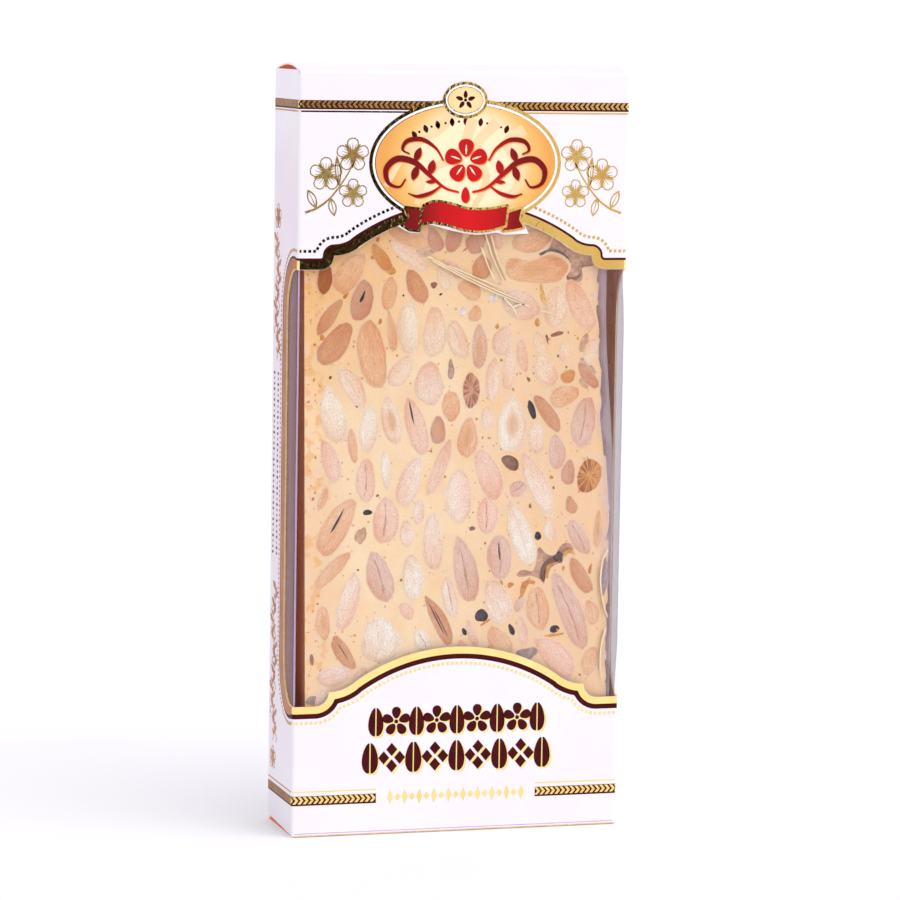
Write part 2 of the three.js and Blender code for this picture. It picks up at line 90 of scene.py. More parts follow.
WINDOW_LOW = 37.2
WINDOW_HIGH = 159.7
SHOULDER_X = 41.5
SHOULDER_RADIUS = 3.9
HOLLOW_RADIUS = 12.0
CROWN_RADIUS = 54.0
CROWN_RISE = 15.8
CROWN_TANGENT_X = 30.8
SIDE_WINDOW = {-1: 11.9, 1: 7.0}   # how far the window reaches into each side panel
SIDE_CORNER_DEPTH = 9.0
SIDE_CORNER_HEIGHT = 13.5

FOLD_FROM = HALF_WIDTH - CORNER_RADIUS
FOLD_LENGTH = CORNER_RADIUS * math.pi / 2


def share_of(value, low, high):
    """0 below a range, 1 above it and a straight line between."""
    return min(max((value - low) / (high - low), 0), 1)


def ease(value, low, high):
    """The same with a smooth step between."""
    share = share_of(value, low, high)
    return share * share * (3 - 2 * share)


def depth_to_along(depth):
    """Where on the flat sheet a point of a side panel lies, from its depth behind the front."""
    return FOLD_FROM + FOLD_LENGTH + depth - CORNER_RADIUS


print(f"carton {2 * HALF_WIDTH:.1f} wide, {2 * HALF_DEPTH:.1f} deep, {LID_CREST:.1f} mm tall")

# %% [markdown]
# ## Camera, floor and light
#
# The carton is seen from a little to the left and a little above, with a long lens, so its
# edges stay nearly parallel. A white floor, one broad sun and a pale sky that dims upwards
# give the even light of a packshot. Three cards that only reflections can see do the rest: a
# dark one turns part of the gold foil nearly black, which is what tells foil from yellow ink,
# a cream one keeps the foil on the right warm, and a lilac one tints the film's left wing.

# %% Camera
CAMERA_AT = Vector((-316.12, -1075.75, 228.57)) * MM
CAMERA_LOOKS = Vector((0.28096, 0.95369, -0.10739))
CAMERA_ROLL = math.radians(0.88)
CAMERA_LENS = 158.5

camera = bpy.data.objects.new("camera", bpy.data.cameras.new("camera"))
bpy.context.scene.collection.objects.link(camera)
camera.data.lens = CAMERA_LENS
camera.data.clip_start = 0.01
aim = CAMERA_LOOKS.to_track_quat("-Z", "Y").to_matrix().to_4x4()
camera.matrix_world = Matrix.Translation(CAMERA_AT) @ aim @ Matrix.Rotation(CAMERA_ROLL, 4, "Z")
bpy.context.scene.camera = camera
print("the camera is", round(CAMERA_AT.length, 3), "m from the carton's foot")

# %% Helpers that place shader nodes
def feed(tree, socket, value):
    """Gives an input a plain value, or another node's output as a link."""
    if isinstance(value, bpy.types.NodeSocket):
        tree.links.new(value, socket)
    else:
        socket.default_value = value


def place(tree, kind, sockets=None, **settings):
    """Adds a shader node with its settings, and feeds each input that is named."""
    node = tree.nodes.new("ShaderNode" + kind)
    for name, value in settings.items():
        setattr(node, name, value)
    for name, value in (sockets or {}).items():
        feed(tree, node.inputs[name], value)
    return node


def new_material(name):
    """Returns a new material, its empty node tree and the Object coordinates in it."""
    material = bpy.data.materials.new(name)
    material.use_nodes = True
    tree = material.node_tree
    tree.nodes.clear()
    return material, tree, place(tree, "TexCoord").outputs["Object"]


def show(tree, shader):
    """Sends a shader's result to the surface."""
    place(tree, "OutputMaterial", {"Surface": shader.outputs[0]})


def paint(red, green, blue):
    """A colour as a paint chart gives it, 0 to 255, in the linear values that shaders use."""
    def linear(value):
        value /= 255
        return value / 12.92 if value <= 0.04045 else ((value + 0.055) / 1.055) ** 2.4
    return (linear(red), linear(green), linear(blue), 1.0)


def blend_colours(tree, factor, first, second, mode="MIX"):
    """A colour Mix node's result."""
    mix = place(tree, "Mix", data_type="RGBA", blend_type=mode)
    for index, value in ((0, factor), (6, first), (7, second)):
        feed(tree, mix.inputs[index], value)
    return mix.outputs[2]


def calculate(tree, operation, *values, clamp=False):
    """A Math node's result."""
    node = place(tree, "Math", dict(enumerate(values)), operation=operation, use_clamp=clamp)
    return node.outputs[0]


def combine(tree, operation, *vectors):
    """A Vector Math node's result."""
    node = place(tree, "VectorMath", dict(enumerate(vectors)), operation=operation)
    return node.outputs["Value" if operation in ("LENGTH", "DOT_PRODUCT") else "Vector"]


def colour_ramp(tree, value, stops):
    """A Color Ramp node's result. stops are (position, colour), the lowest first."""
    ramp = place(tree, "ValToRGB", {"Fac": value})
    elements = ramp.color_ramp.elements
    elements[0].position, elements[0].color = stops[0]
    elements[1].position, elements[1].color = stops[-1]
    for position, colour in stops[1:-1]:
        elements.new(position).color = colour
    return ramp.outputs[0]


def remap(tree, value, low, high, to_low=0.0, to_high=1.0):
    """A value carried smoothly from one range to another."""
    sockets = {"Value": value, "From Min": low, "From Max": high, "To Min": to_low, "To Max": to_high}
    return place(tree, "MapRange", sockets, interpolation_type="SMOOTHSTEP").outputs[0]


print("node helpers are ready; a mid grey is", round(paint(128, 128, 128)[0], 3))

# %% Sky and soft light
SKY_BRIGHT = (1.0, 0.99, 1.0, 1.0)
SKY_DIM = (0.62, 0.62, 0.65, 1.0)
SKY_STRENGTH = 1.12
DIM_TOWARDS = (-0.5, 0.0, 1.0)     # the sky grows dimmer upwards and to the left
DIM_FROM, DIM_TO = 0.02, 0.75

world = bpy.data.worlds.new("studio")
bpy.context.scene.world = world
world.use_nodes = True
sky = world.node_tree
seen = place(sky, "TexCoord").outputs["Generated"]
toward = combine(sky, "DOT_PRODUCT", seen, DIM_TOWARDS)
background = sky.nodes["Background"].inputs
feed(sky, background["Color"], colour_ramp(sky, toward, [(DIM_FROM, SKY_BRIGHT), (DIM_TO, SKY_DIM)]))
background["Strength"].default_value = SKY_STRENGTH
bpy.context.scene.view_settings.view_transform = "Standard"

KEY_SHINES = Vector((-0.28, 0.44, -0.85))
KEY_STRENGTH = 1.1
KEY_SPREAD = math.radians(50)      # as wide in the sky as a soft box that stands close by

key = bpy.data.objects.new("key", bpy.data.lights.new("key", "SUN"))
key.data.energy, key.data.angle = KEY_STRENGTH, KEY_SPREAD
key.rotation_euler = KEY_SHINES.to_track_quat("-Z", "Y").to_euler()
bpy.context.scene.collection.objects.link(key)

# %% [markdown]
# ## Effects that several finishes share
#
# Board, ink and foil all show the fine fibre of the board below. Nougat, almonds and the
# brown inside of the board all have soft uneven patches. Each effect is one node group with
# named sockets, so that every finish can use it at its own scale and strength.

# %% Shader node groups
def shader_group(name, inputs, outputs):
    """An empty group. inputs are (name, socket type, value) and outputs are (name, type)."""
    tree = bpy.data.node_groups.new(name, "ShaderNodeTree")
    for label, kind, value in inputs:
        socket = tree.interface.new_socket(label, in_out="INPUT", socket_type="NodeSocket" + kind)
        if value is not None:
            socket.default_value = value
    for label, kind in outputs:
        tree.interface.new_socket(label, in_out="OUTPUT", socket_type="NodeSocket" + kind)
    return tree, tree.nodes.new("NodeGroupInput"), tree.nodes.new("NodeGroupOutput")


def use_group(tree, group, sockets):
    """Places a group in a material."""
    return place(tree, "Group", sockets, node_tree=group)


def make_fibre_group():
    """Fine board fibre: a height for a Bump node and a faint change of roughness."""
    tree, given, gives = shader_group(
        "board fibre",
        [("Vector", "Vector", None), ("Scale", "Float", 900.0), ("Roughness", "Float", 0.4)],
        [("Height", "Float"), ("Roughness", "Float")])
    fine = place(tree, "TexNoise", {
        "Vector": given.outputs["Vector"], "Scale": given.outputs["Scale"], "Detail": 3.0})
    spread = calculate(tree, "MULTIPLY_ADD", fine.outputs[0], 0.16, -0.08)
    tree.links.new(fine.outputs[0], gives.inputs["Height"])
    tree.links.new(
        calculate(tree, "ADD", given.outputs["Roughness"], spread, clamp=True), gives.inputs["Roughness"])
    return tree


def make_patches_group():
    """Soft uneven patches, 0 to 1, with edges as soft as the width says."""
    tree, given, gives = shader_group(
        "soft patches",
        [("Vector", "Vector", None), ("Scale", "Float", 100.0), ("Middle", "Float", 0.5),
         ("Width", "Float", 0.2)],
        [("Mask", "Float")])
    noise = place(tree, "TexNoise", {
        "Vector": given.outputs["Vector"], "Scale": given.outputs["Scale"], "Detail": 2.0})
    low = calculate(tree, "SUBTRACT", given.outputs["Middle"], given.outputs["Width"])
    high = calculate(tree, "ADD", given.outputs["Middle"], given.outputs["Width"])
    tree.links.new(remap(tree, noise.outputs[0], low, high), gives.inputs["Mask"])
    return tree


def make_specks_group():
    """Scattered round specks: a mask that is 1 in a share of the cells of a fine pattern."""
    tree, given, gives = shader_group(
        "scattered specks",
        [("Vector", "Vector", None), ("Scale", "Float", 400.0), ("Share", "Float", 0.1),
         ("Size", "Float", 0.3)],
        [("Mask", "Float")])
    cells = place(tree, "TexVoronoi", {
        "Vector": given.outputs["Vector"], "Scale": given.outputs["Scale"]})
    picked = place(tree, "SeparateColor", {"Color": cells.outputs["Color"]})
    chosen = calculate(tree, "LESS_THAN", picked.outputs[0], given.outputs["Share"])
    inner = calculate(tree, "MULTIPLY", given.outputs["Size"], 0.6)
    round_spot = remap(tree, cells.outputs["Distance"], inner, given.outputs["Size"], 1.0, 0.0)
    tree.links.new(calculate(tree, "MULTIPLY", chosen, round_spot), gives.inputs["Mask"])
    return tree


FIBRE = make_fibre_group()
PATCHES = make_patches_group()
SPECKS = make_specks_group()


def patches(tree, where, scale, middle, width):
    """The mask of soft patches, placed in a material."""
    sockets = {"Vector": where, "Scale": scale, "Middle": middle, "Width": width}
    return use_group(tree, PATCHES, sockets).outputs[0]


def specks(tree, where, scale, share, size):
    """The mask of scattered specks, placed in a material."""
    sockets = {"Vector": where, "Scale": scale, "Share": share, "Size": size}
    return use_group(tree, SPECKS, sockets).outputs[0]


print("groups:", ", ".join(group.name for group in (FIBRE, PATCHES, SPECKS)))

# %% [markdown]
# ## Board, ink and foil
#
# Carton board is white and coated on one side and plain brown inside, and its cut edge shows
# the pulp between. Ink soaks in, so it keeps the sheen of the board. Hot foil is real metal:
# it is dark or bright by what it mirrors, so it gets a metallic shader and small dents. On the
# side panels a darker, duller copy of the gold paints in the shade that the foil shows there.
# Thin board also lets a little daylight into the box. A weak brown emission on the inside
# stands in for that, which is far cheaper than tracing light through the board.

# %% Finishes of the board
DAYLIGHT_THROUGH = 0.4             # strength of the emission that stands in for daylight


def plain_finish(name, colour, roughness, fibre_scale=900.0, bump=0.05, coat=0.0, specular=0.5,
                 through=None):
    """A colour on board: the fibre below roughens it and shows as a fine bump."""
    material, tree, where = new_material(name)
    fibre = use_group(tree, FIBRE, {"Vector": where, "Scale": fibre_scale, "Roughness": roughness})
    relief = place(tree, "Bump", {
        "Height": fibre.outputs["Height"], "Strength": bump, "Distance": 0.0002})
    shader = place(tree, "BsdfPrincipled", {
        "Base Color": colour(tree, where), "Roughness": fibre.outputs["Roughness"],
        "Normal": relief.outputs[0], "Specular IOR Level": specular, "Coat Weight": coat,
        "Coat Roughness": 0.25})
    if through:
        shader.inputs["Emission Color"].default_value = through
        shader.inputs["Emission Strength"].default_value = DAYLIGHT_THROUGH
    show(tree, shader)
    return material


def patchy(light, dark, scale):
    """A colour of two shades that change in soft patches."""
    def colour(tree, where):
        mask = patches(tree, where, scale, 0.5, 0.25)
        return blend_colours(tree, mask, paint(*light), paint(*dark))
    return colour


def flecked(light, dark):
    """Recycled board: patches with scattered darker fibres."""
    def colour(tree, where):
        base = patchy(light, dark, 160)(tree, where)
        flecks = specks(tree, where, 700.0, 0.12, 0.35)
        return blend_colours(tree, flecks, base, paint(96, 74, 62))
    return colour


BOARD_WHITE = plain_finish(
    "coated_board", patchy((246, 241, 249), (243, 237, 247), 45), 0.4, coat=0.2)
BOARD_INSIDE = plain_finish(
    "board_inside", flecked((250, 176, 134), (214, 142, 106)), 0.85, bump=0.3,
    through=paint(150, 100, 84))
BOARD_EDGE = plain_finish(
    "board_edge", patchy((244, 216, 168), (228, 192, 142), 900), 0.8, bump=0.3)
WHITE_INK = plain_finish("white_ink", patchy((252, 250, 254), (247, 245, 252), 45), 0.35)
MAROON_INK = plain_finish("maroon_ink", patchy((82, 6, 12), (64, 3, 8), 300), 0.45, specular=0.12)
TAN_INK = plain_finish("tan_ink", patchy((249, 220, 174), (245, 211, 162), 200), 0.4, specular=0.2)
# a mauve that paints the shade along the crease where the base turns under
MAUVE_CREASE_SHADE = plain_finish("mauve_ink", patchy((206, 188, 214), (190, 168, 200), 300), 0.5)


def foil_finish(name, bright, deep, roughness):
    """Hot-stamped foil: metal with a slow change of tone and shallow dents that glint."""
    material, tree, where = new_material(name)
    fibre = use_group(tree, FIBRE, {"Vector": where, "Scale": 1300.0, "Roughness": roughness})
    waves = place(tree, "TexNoise", {"Vector": where, "Scale": 700.0, "Detail": 2.0})
    height = calculate(tree, "MULTIPLY_ADD", fibre.outputs["Height"], 0.1, waves.outputs[0])
    relief = place(tree, "Bump", {"Height": height, "Strength": 0.3, "Distance": 0.0001})
    shader = place(tree, "BsdfPrincipled", {
        "Base Color": patchy(bright, deep, 120)(tree, where), "Metallic": 1.0,
        "Roughness": fibre.outputs["Roughness"], "Normal": relief.outputs[0]})
    show(tree, shader)
    return material


GOLD_FOIL = foil_finish("gold_foil", (255, 236, 160), (251, 225, 140), 0.07)
BRAID_FOIL = foil_finish("braid_foil", (255, 228, 150), (246, 212, 128), 0.22)
# a darker, duller copy of the gold for the side panels: painted shade
SHADED_SIDE_FOIL = foil_finish("side_gold_foil", (207, 162, 104), (186, 137, 82), 0.4)
print("board, ink and foil:", len(bpy.data.materials), "materials")

# %% Floor and cards
def stage_sheet(name, half_width, half_depth, matrix, finish):
    """A flat sheet that belongs to the studio, not to the part."""
    mesh = bmesh.new()
    bmesh.ops.create_grid(mesh, x_segments=1, y_segments=1, size=1)
    bmesh.ops.scale(mesh, vec=(half_width, half_depth, 1), verts=mesh.verts)
    bmesh.ops.transform(mesh, matrix=matrix, verts=mesh.verts)
    data = bpy.data.meshes.new(name)
    mesh.to_mesh(data)
    mesh.free()
    data.materials.append(finish)
    sheet = bpy.data.objects.new(name, data)
    bpy.context.scene.collection.objects.link(sheet)
    sheet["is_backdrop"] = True
    return sheet


FLOOR_REACH = 30
FLOOR_PAPER = plain_finish("floor_paper", patchy((253, 252, 254), (252, 251, 253), 4), 0.7, 200.0)
CARD_BLACK = plain_finish("card_black", patchy((34, 16, 8), (28, 12, 6), 4), 0.9, specular=0.0)
CARD_LILAC = plain_finish("card_lilac", patchy((226, 196, 206), (220, 190, 200), 4), 0.9)
CARD_CREAM = plain_finish("card_cream", patchy((234, 208, 176), (228, 202, 170), 4), 0.9)
CARDS = [                          # name, half its width and height, its middle, and finish
    ("dark_card", 0.52, 0.6, (-0.09, -1.45, 0.6), CARD_BLACK),
    ("cream_card", 0.5, 0.6, (0.94, -1.45, 0.6), CARD_CREAM),
    ("lilac_card", 0.08, 0.095, (-0.14, 0.15, 0.095), CARD_LILAC),
]
stage_sheet("floor", FLOOR_REACH, FLOOR_REACH, Matrix.Identity(4), FLOOR_PAPER)
for name, half_width, half_height, middle, finish in CARDS:
    stands = Matrix.Translation(middle) @ Matrix.Rotation(math.radians(90), 4, "X")
    card = stage_sheet(name, half_width, half_height, stands, finish)
    card.visible_camera = card.visible_diffuse = card.visible_shadow = False
print("a floor, two cards behind the camera and a small one behind the carton")

# %% [markdown]
# Three inks are gradients. The cartouche and the medallion are lit like a little sky, pale in
# the middle and apricot at the rim. The ribbon is bright red at its middle and falls off to
# both ends, as shaded satin does. All read Object coordinates, moved and scaled by a Mapping
# node, and the length of the result runs a colour ramp.

# %% Gradient inks
def gradient_finish(name, centre, reach, stops):
    """Colours that change with the distance from a point. centre and reach are along and up."""
    def colour(tree, where):
        mapping = place(tree, "Mapping", {
            "Vector": where, "Location": (-centre[0] / reach[0], 0, -centre[1] / reach[1]),
            "Scale": (1 / (reach[0] * MM), 0, 1 / (reach[1] * MM))})
        away = combine(tree, "LENGTH", mapping.outputs[0])
        return colour_ramp(tree, away, [(at, paint(*value)) for at, value in stops])
    return plain_finish(name, colour, 0.4, specular=0.2)


CARTOUCHE_INK = gradient_finish("cartouche_ink", (0.6, 189.5), (24, 22), [
    (0.0, (255, 239, 202)), (0.58, (255, 236, 194)), (0.8, (246, 193, 114)),
    (1.0, (238, 166, 86))])
MEDALLION_INK = gradient_finish("medallion_ink", (0, 207), (6, 5), [
    (0.0, (255, 236, 186)), (1.0, (249, 208, 138))])
RIBBON_INK = gradient_finish("ribbon_ink", (1, 175), (17, 60), [
    (0.0, (216, 14, 22)), (0.45, (196, 8, 18)), (0.8, (138, 4, 14)),
    (1.0, (122, 3, 12))])
print("gradient inks for the cartouche, the medallion and the ribbon")

# %% [markdown]
# ## The folded carton
#
# The CAD mesh already has the true folds, flaps and window, so it is copied rather than
# modelled again. Its loose triangles are merged, flat areas become single faces, and each
# face then gets one of three finishes by how deep it lies in the board: coated on the outer
# skin, brown on the inner one and pulp on a cut edge in between.

# %% Helpers that turn a bmesh into a piece
def only(kind, items):
    """The vertices, edges or faces among what an operator made."""
    return [item for item in items if isinstance(item, getattr(bmesh.types, kind))]


def lift(mesh, height, verts):
    bmesh.ops.translate(mesh, vec=(0, 0, height), verts=verts)


def face_outwards(mesh):
    bmesh.ops.recalc_face_normals(mesh, faces=mesh.faces[:])


def finish_piece(name, mesh, slot, *materials):
    """Scales a bmesh from millimetres, and makes it a piece that rides with the carton."""
    bmesh.ops.scale(mesh, vec=(MM, MM, MM), verts=mesh.verts)
    data = bpy.data.meshes.new(name)
    mesh.to_mesh(data)
    mesh.free()
    for material in materials:
        data.materials.append(material)
    piece = bpy.data.objects.new(name, data)
    bpy.context.scene.collection.objects.link(piece)
    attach(piece, "root")
    print(f"{name}: {len(data.polygons)} faces")
    return piece


# %% Carton
LID_BOW_END_Y = 12.1               # the bow of the lid runs from its front fold to here
SKIN = 0.1                         # a face this near to the coated or the brown side lies in it
FLAT = math.radians(0.5)           # faces that meet at less than this become one
SHARP = math.radians(4)            # edges that turn by more than this stay sharp


def lid_top(y):
    """Height of the bowed lid at a depth."""
    start = -HALF_DEPTH + LID_FOLD_RADIUS
    middle = (start + LID_BOW_END_Y) / 2
    side_height = LID_FOLD_Z + LID_FOLD_RADIUS
    return LID_CREST - (LID_CREST - side_height) * ((y - middle) / (middle - start)) ** 2


def depth_in_board(point):
    """How far a point lies below the carton's outer skin."""
    across = abs(point.x) - HALF_WIDTH + CORNER_RADIUS
    along = abs(point.y) - HALF_DEPTH + CORNER_RADIUS
    plan = CORNER_RADIUS - math.hypot(max(across, 0), max(along, 0)) - min(max(across, along), 0)
    if point.x < 0 < point.y:
        plan = min(HALF_WIDTH + point.x, HALF_DEPTH - point.y)
    front_fold = Vector((point.y + HALF_DEPTH - LID_FOLD_RADIUS, point.z - LID_FOLD_Z))
    if front_fold.x < 0 < front_fold.y:
        plan = LID_FOLD_RADIUS - front_fold.length
    return min(plan, abs(lid_top(point.y) - point.z), point.z)


def make_carton():
    """The CAD's own mesh in millimetres, with its loose triangles joined and sorted by finish."""
    mesh = bmesh.new()
    mesh.from_mesh(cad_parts["carton"].data)
    bmesh.ops.scale(mesh, vec=(1 / MM, 1 / MM, 1 / MM), verts=mesh.verts)
    bmesh.ops.remove_doubles(mesh, verts=mesh.verts, dist=1e-4)
    bmesh.ops.dissolve_limit(
        mesh, angle_limit=FLAT, verts=mesh.verts, edges=mesh.edges, use_dissolve_boundaries=False)
    for face in mesh.faces:
        depth = depth_in_board(face.calc_center_median())
        face.material_index = 0 if depth < SKIN else 1 if depth > BOARD - SKIN else 2
        face.smooth = True
    for edge in mesh.edges:
        edge.smooth = len(edge.link_faces) == 2 and edge.calc_face_angle() < SHARP
    carton = finish_piece("carton_board", mesh, "printed_board", BOARD_WHITE, BOARD_INSIDE, BOARD_EDGE)
    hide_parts("carton")


make_carton()

# %% [markdown]
# ## Printing: flat artwork that is folded round the carton
#
# All artwork is drawn on the flat sheet first, as a printer would: x runs along the sheet
# and y up it. Filled outlines become faces, the faces get the thickness of a foil film, and
# the sheet is cut along its fold lines so that it can bend. Then each point is carried to its
# place on the folded box. A real skin of foil keeps crisp edges from any distance, which
# a painted texture doesn't.

# %% Outlines on the flat sheet
def arc(centre, radii, start, stop, step=0.4):
    """Points of an arc about a centre, from one angle to another in degrees."""
    count = max(2, math.ceil(abs(math.radians(stop - start)) * max(radii) / step))
    angles = [math.radians(start + (stop - start) * i / count) for i in range(count + 1)]
    return [Vector((centre[0] + radii[0] * math.cos(a), centre[1] + radii[1] * math.sin(a))) for a in angles]


def oval(centre, radii, step=0.5):
    """A closed oval, without its last point, which would be its first again."""
    return arc(centre, radii, 0, 360, step)[:-1]


def curve_through(points, steps):
    """A smooth curve through a few points."""
    points = [Vector(p) for p in points]
    padded = [2 * points[0] - points[1], *points, 2 * points[-1] - points[-2]]
    result = []
    for a, b, c, d in zip(padded, padded[1:], padded[2:], padded[3:]):
        for i in range(steps):
            t = i / steps
            result.append(0.5 * (2 * b + (c - a) * t + (2 * a - 5 * b + 4 * c - d) * t ** 2
                                 + (3 * b - a - 3 * c + d) * t ** 3))
    return [*result, points[-1]]


def egg(centre, length, width, lean, fullness=0.22, sides=28):
    """The outline of an almond: an oval that is fuller at its lower end. lean tips its top right."""
    turn = Matrix.Rotation(-math.radians(lean), 2)
    points = []
    for i in range(sides):
        angle = 2 * math.pi * i / sides
        across = width / 2 * math.cos(angle) * (1 - fullness * math.sin(angle))
        points.append(Vector(centre) + turn @ Vector((across, length / 2 * math.sin(angle))))
    return points


def leaf(foot, tip, width):
    """A leaf with two pointed ends."""
    sides = 7
    foot, tip = Vector(foot), Vector(tip)
    side = (tip - foot).normalized().orthogonal() * width / 2

    def edge(i, sign):
        return foot.lerp(tip, i / sides) + side * sign * math.sin(math.pi * i / sides) ** 0.8
    return [edge(i, 1) for i in range(sides + 1)] + [edge(i, -1) for i in range(sides - 1, 0, -1)]


def stroke(path, start, end, swell=0.0):
    """A pen stroke along a path, from one width to another, and wider in between by the swell."""
    left, right = [], []
    for i, point in enumerate(path):
        ahead = path[min(i + 1, len(path) - 1)] - path[max(i - 1, 0)]
        share = i / (len(path) - 1)
        half = (start + (end - start) * share + swell * math.sin(math.pi * share) ** 2) / 2
        side = Vector((-ahead.y, ahead.x)).normalized() * half
        left.append(point + side)
        right.append(point - side)
    return right + left[::-1]


def five_ways(start=90):
    """Five directions like a blossom's petals, each with the lean that points an egg along it."""
    for i in range(5):
        angle = math.radians(start + 72 * i)
        yield Vector((math.cos(angle), math.sin(angle))), 90 - start - 72 * i


print("an almond outline has", len(egg((0, 0), 10, 5, 0)), "points")

# %% [markdown]
# A band that follows the window needs the window's outline at several distances. Moving every
# point outwards makes loops wherever a hollow is tighter than the distance. So every point
# that ends up too close to the outline is dropped, which a KD tree finds quickly, and what
# is left meets in a clean corner.

# %% Outlines at a distance
SAMPLE_STEP = 0.4
TURN_STEP = 0.2                    # in radians, round an outer corner
SLACK = 0.07                       # a point may end up this much too close and still be kept


def set_off(outline, reach):
    """A closed outline moved outwards. reach is a distance, or a function that gives one."""
    distance = reach if callable(reach) else lambda point: reach
    edges = list(zip(outline, outline[1:] + outline[:1]))
    samples = []
    last_out = None
    for a, b in edges[-1:] + edges:
        ahead = (b - a).normalized()
        out = Vector((ahead.y, -ahead.x))
        turn = 0 if last_out is None else math.atan2(
            last_out.x * out.y - last_out.y * out.x, last_out.dot(out))
        for i in range(1, int(max(turn, 0) / TURN_STEP) + 1):
            samples.append((a, Matrix.Rotation(TURN_STEP * i, 2) @ last_out))
        count = max(1, math.ceil((b - a).length / SAMPLE_STEP))
        samples += [(a.lerp(b, i / count), out) for i in range(count)]
        last_out = out
    first = max(1, math.ceil((edges[-1][1] - edges[-1][0]).length / SAMPLE_STEP))
    samples = samples[first:]
    tree = KDTree(len(samples))
    for i, (point, _) in enumerate(samples):
        tree.insert((*point, 0), i)
    tree.balance()
    moved = [(point + out * distance(point), distance(point)) for point, out in samples]
    return [spot for spot, far in moved if tree.find((*spot, 0))[2] > abs(far) - SLACK]


def window_outline():
    """The window on the flat sheet, round both folds, counterclockwise from the lower left."""
    def shoulder(side, level):
        start = (side * SHOULDER_X, level + SHOULDER_RADIUS)
        hollow_x = side * (SHOULDER_X - SHOULDER_RADIUS)
        join = math.degrees(math.asin((abs(hollow_x) - CROWN_TANGENT_X) / HOLLOW_RADIUS))
        hollow = (hollow_x, level + SHOULDER_RADIUS + HOLLOW_RADIUS)
        turn = -90 - side * 90
        return (arc(start, (SHOULDER_RADIUS,) * 2, -90, turn if side > 0 else 0)
                + arc(hollow, (HOLLOW_RADIUS,) * 2, -90, -90 - side * join)[1:])

    def cut_edge(level):
        lean = math.degrees(math.asin(CROWN_TANGENT_X / CROWN_RADIUS))
        crown = arc((0, level + CROWN_RISE - CROWN_RADIUS), (CROWN_RADIUS,) * 2, 90 + lean, 90 - lean)
        return shoulder(-1, level) + crown[1:-1] + shoulder(1, level)[::-1]

    def corner(side, level, start):
        round_depth = min(SIDE_CORNER_DEPTH, SIDE_WINDOW[side])
        along = side * depth_to_along(SIDE_WINDOW[side] - round_depth)
        up = level + SIDE_CORNER_HEIGHT * (1 if level == WINDOW_LOW else -1)
        return arc((along, up), (round_depth, SIDE_CORNER_HEIGHT), start, start + 90)

    return (cut_edge(WINDOW_LOW) + corner(1, WINDOW_LOW, -90) + corner(1, WINDOW_HIGH, 0)
            + cut_edge(WINDOW_HIGH)[::-1] + corner(-1, WINDOW_HIGH, 90) + corner(-1, WINDOW_LOW, 180))


WINDOW = window_outline()
print("the window's outline has", len(WINDOW), "points")

# %% Filling, thickening and folding the sheet
SUNK = 0.03                        # the artwork's underside lies just inside the board


def draw(mesh, *loops, rise=0.0):
    """Fills an outline on the sheet. Further loops are holes. Shapes that cross get their own rise."""
    edges = []
    for loop in loops:
        corners = [mesh.verts.new((*point, rise)) for point in loop]
        edges += [mesh.edges.new(pair) for pair in zip(corners, corners[1:] + corners[:1])]
    bmesh.ops.triangle_fill(mesh, edges=edges, use_beauty=True)


def folded(point):
    """Where a point of the sheet (along, up, out) lands on the folded carton."""
    side = math.copysign(1, point.x)
    left = abs(point.x)
    rear = CORNER_RADIUS if side > 0 else SEAM_RADIUS
    spot, ahead = Vector((0, -HALF_DEPTH)), Vector((1, 0))
    for straight, radius in (
            (FOLD_FROM, CORNER_RADIUS), (2 * HALF_DEPTH - CORNER_RADIUS - rear, rear), (math.inf, rear)):
        out = Vector((ahead.y, -ahead.x))
        step = min(left, straight)
        spot += ahead * step
        left -= step
        if left <= 0:
            break
        turn = min(left / radius, math.pi / 2)
        centre = spot - out * radius
        ahead = Matrix.Rotation(turn, 2) @ ahead
        out = Vector((ahead.y, -ahead.x))
        spot = centre + out * radius
        left -= turn * radius
    spot += out * point.z
    return Vector((side * spot.x, spot.y, point.y))


def fold_lines():
    """Places along the sheet where it bends, several to a fold."""
    rear_from = FOLD_FROM + FOLD_LENGTH + 2 * HALF_DEPTH - 2 * CORNER_RADIUS
    seam = FOLD_FROM + FOLD_LENGTH + 2 * HALF_DEPTH - CORNER_RADIUS - SEAM_RADIUS
    front = [sign * (FOLD_FROM + FOLD_LENGTH * i / 4) for sign in (-1, 1) for i in range(5)]
    rear = [rear_from + FOLD_LENGTH * i / 4 for i in range(5)]
    return front + rear + [-seam, -seam - SEAM_RADIUS * math.pi / 2]


def print_piece(name, mesh, layer, *materials):
    """Thickens flat artwork and folds it round the carton. A second material, a darker copy of the foil that
    paints in shade, is for the other panels.
    """
    lift(mesh, -SUNK, mesh.verts)
    low, high = (limit(v.co.x for v in mesh.verts) for limit in (min, max))
    for line in fold_lines():
        if low < line < high:
            bmesh.ops.bisect_plane(
                mesh, geom=mesh.verts[:] + mesh.edges[:] + mesh.faces[:],
                plane_co=(line, 0, 0), plane_no=(1, 0, 0))
    for face in mesh.faces:
        past_fold = abs(face.calc_center_median().x) > FOLD_FROM + FOLD_LENGTH
        face.material_index = int(past_fold and len(materials) > 1)
    raised = bmesh.ops.extrude_face_region(mesh, geom=mesh.faces[:])["geom"]
    lift(mesh, layer + SUNK, only("BMVert", raised))
    face_outwards(mesh)
    for vert in mesh.verts:
        vert.co = folded(vert.co)
    finish_piece(name, mesh, "printed_board", *materials)


print("the sheet bends along", len(fold_lines()), "lines")

# %% [markdown]
# ## Bands and dots round the window
#
# A gold band follows the cut edge, then a maroon line, a white gap and a row of small gold
# squares. Each band is the area between two outlines at different distances. The bands are
# wider on the side panels than below the window, so the distance is a function of the place.

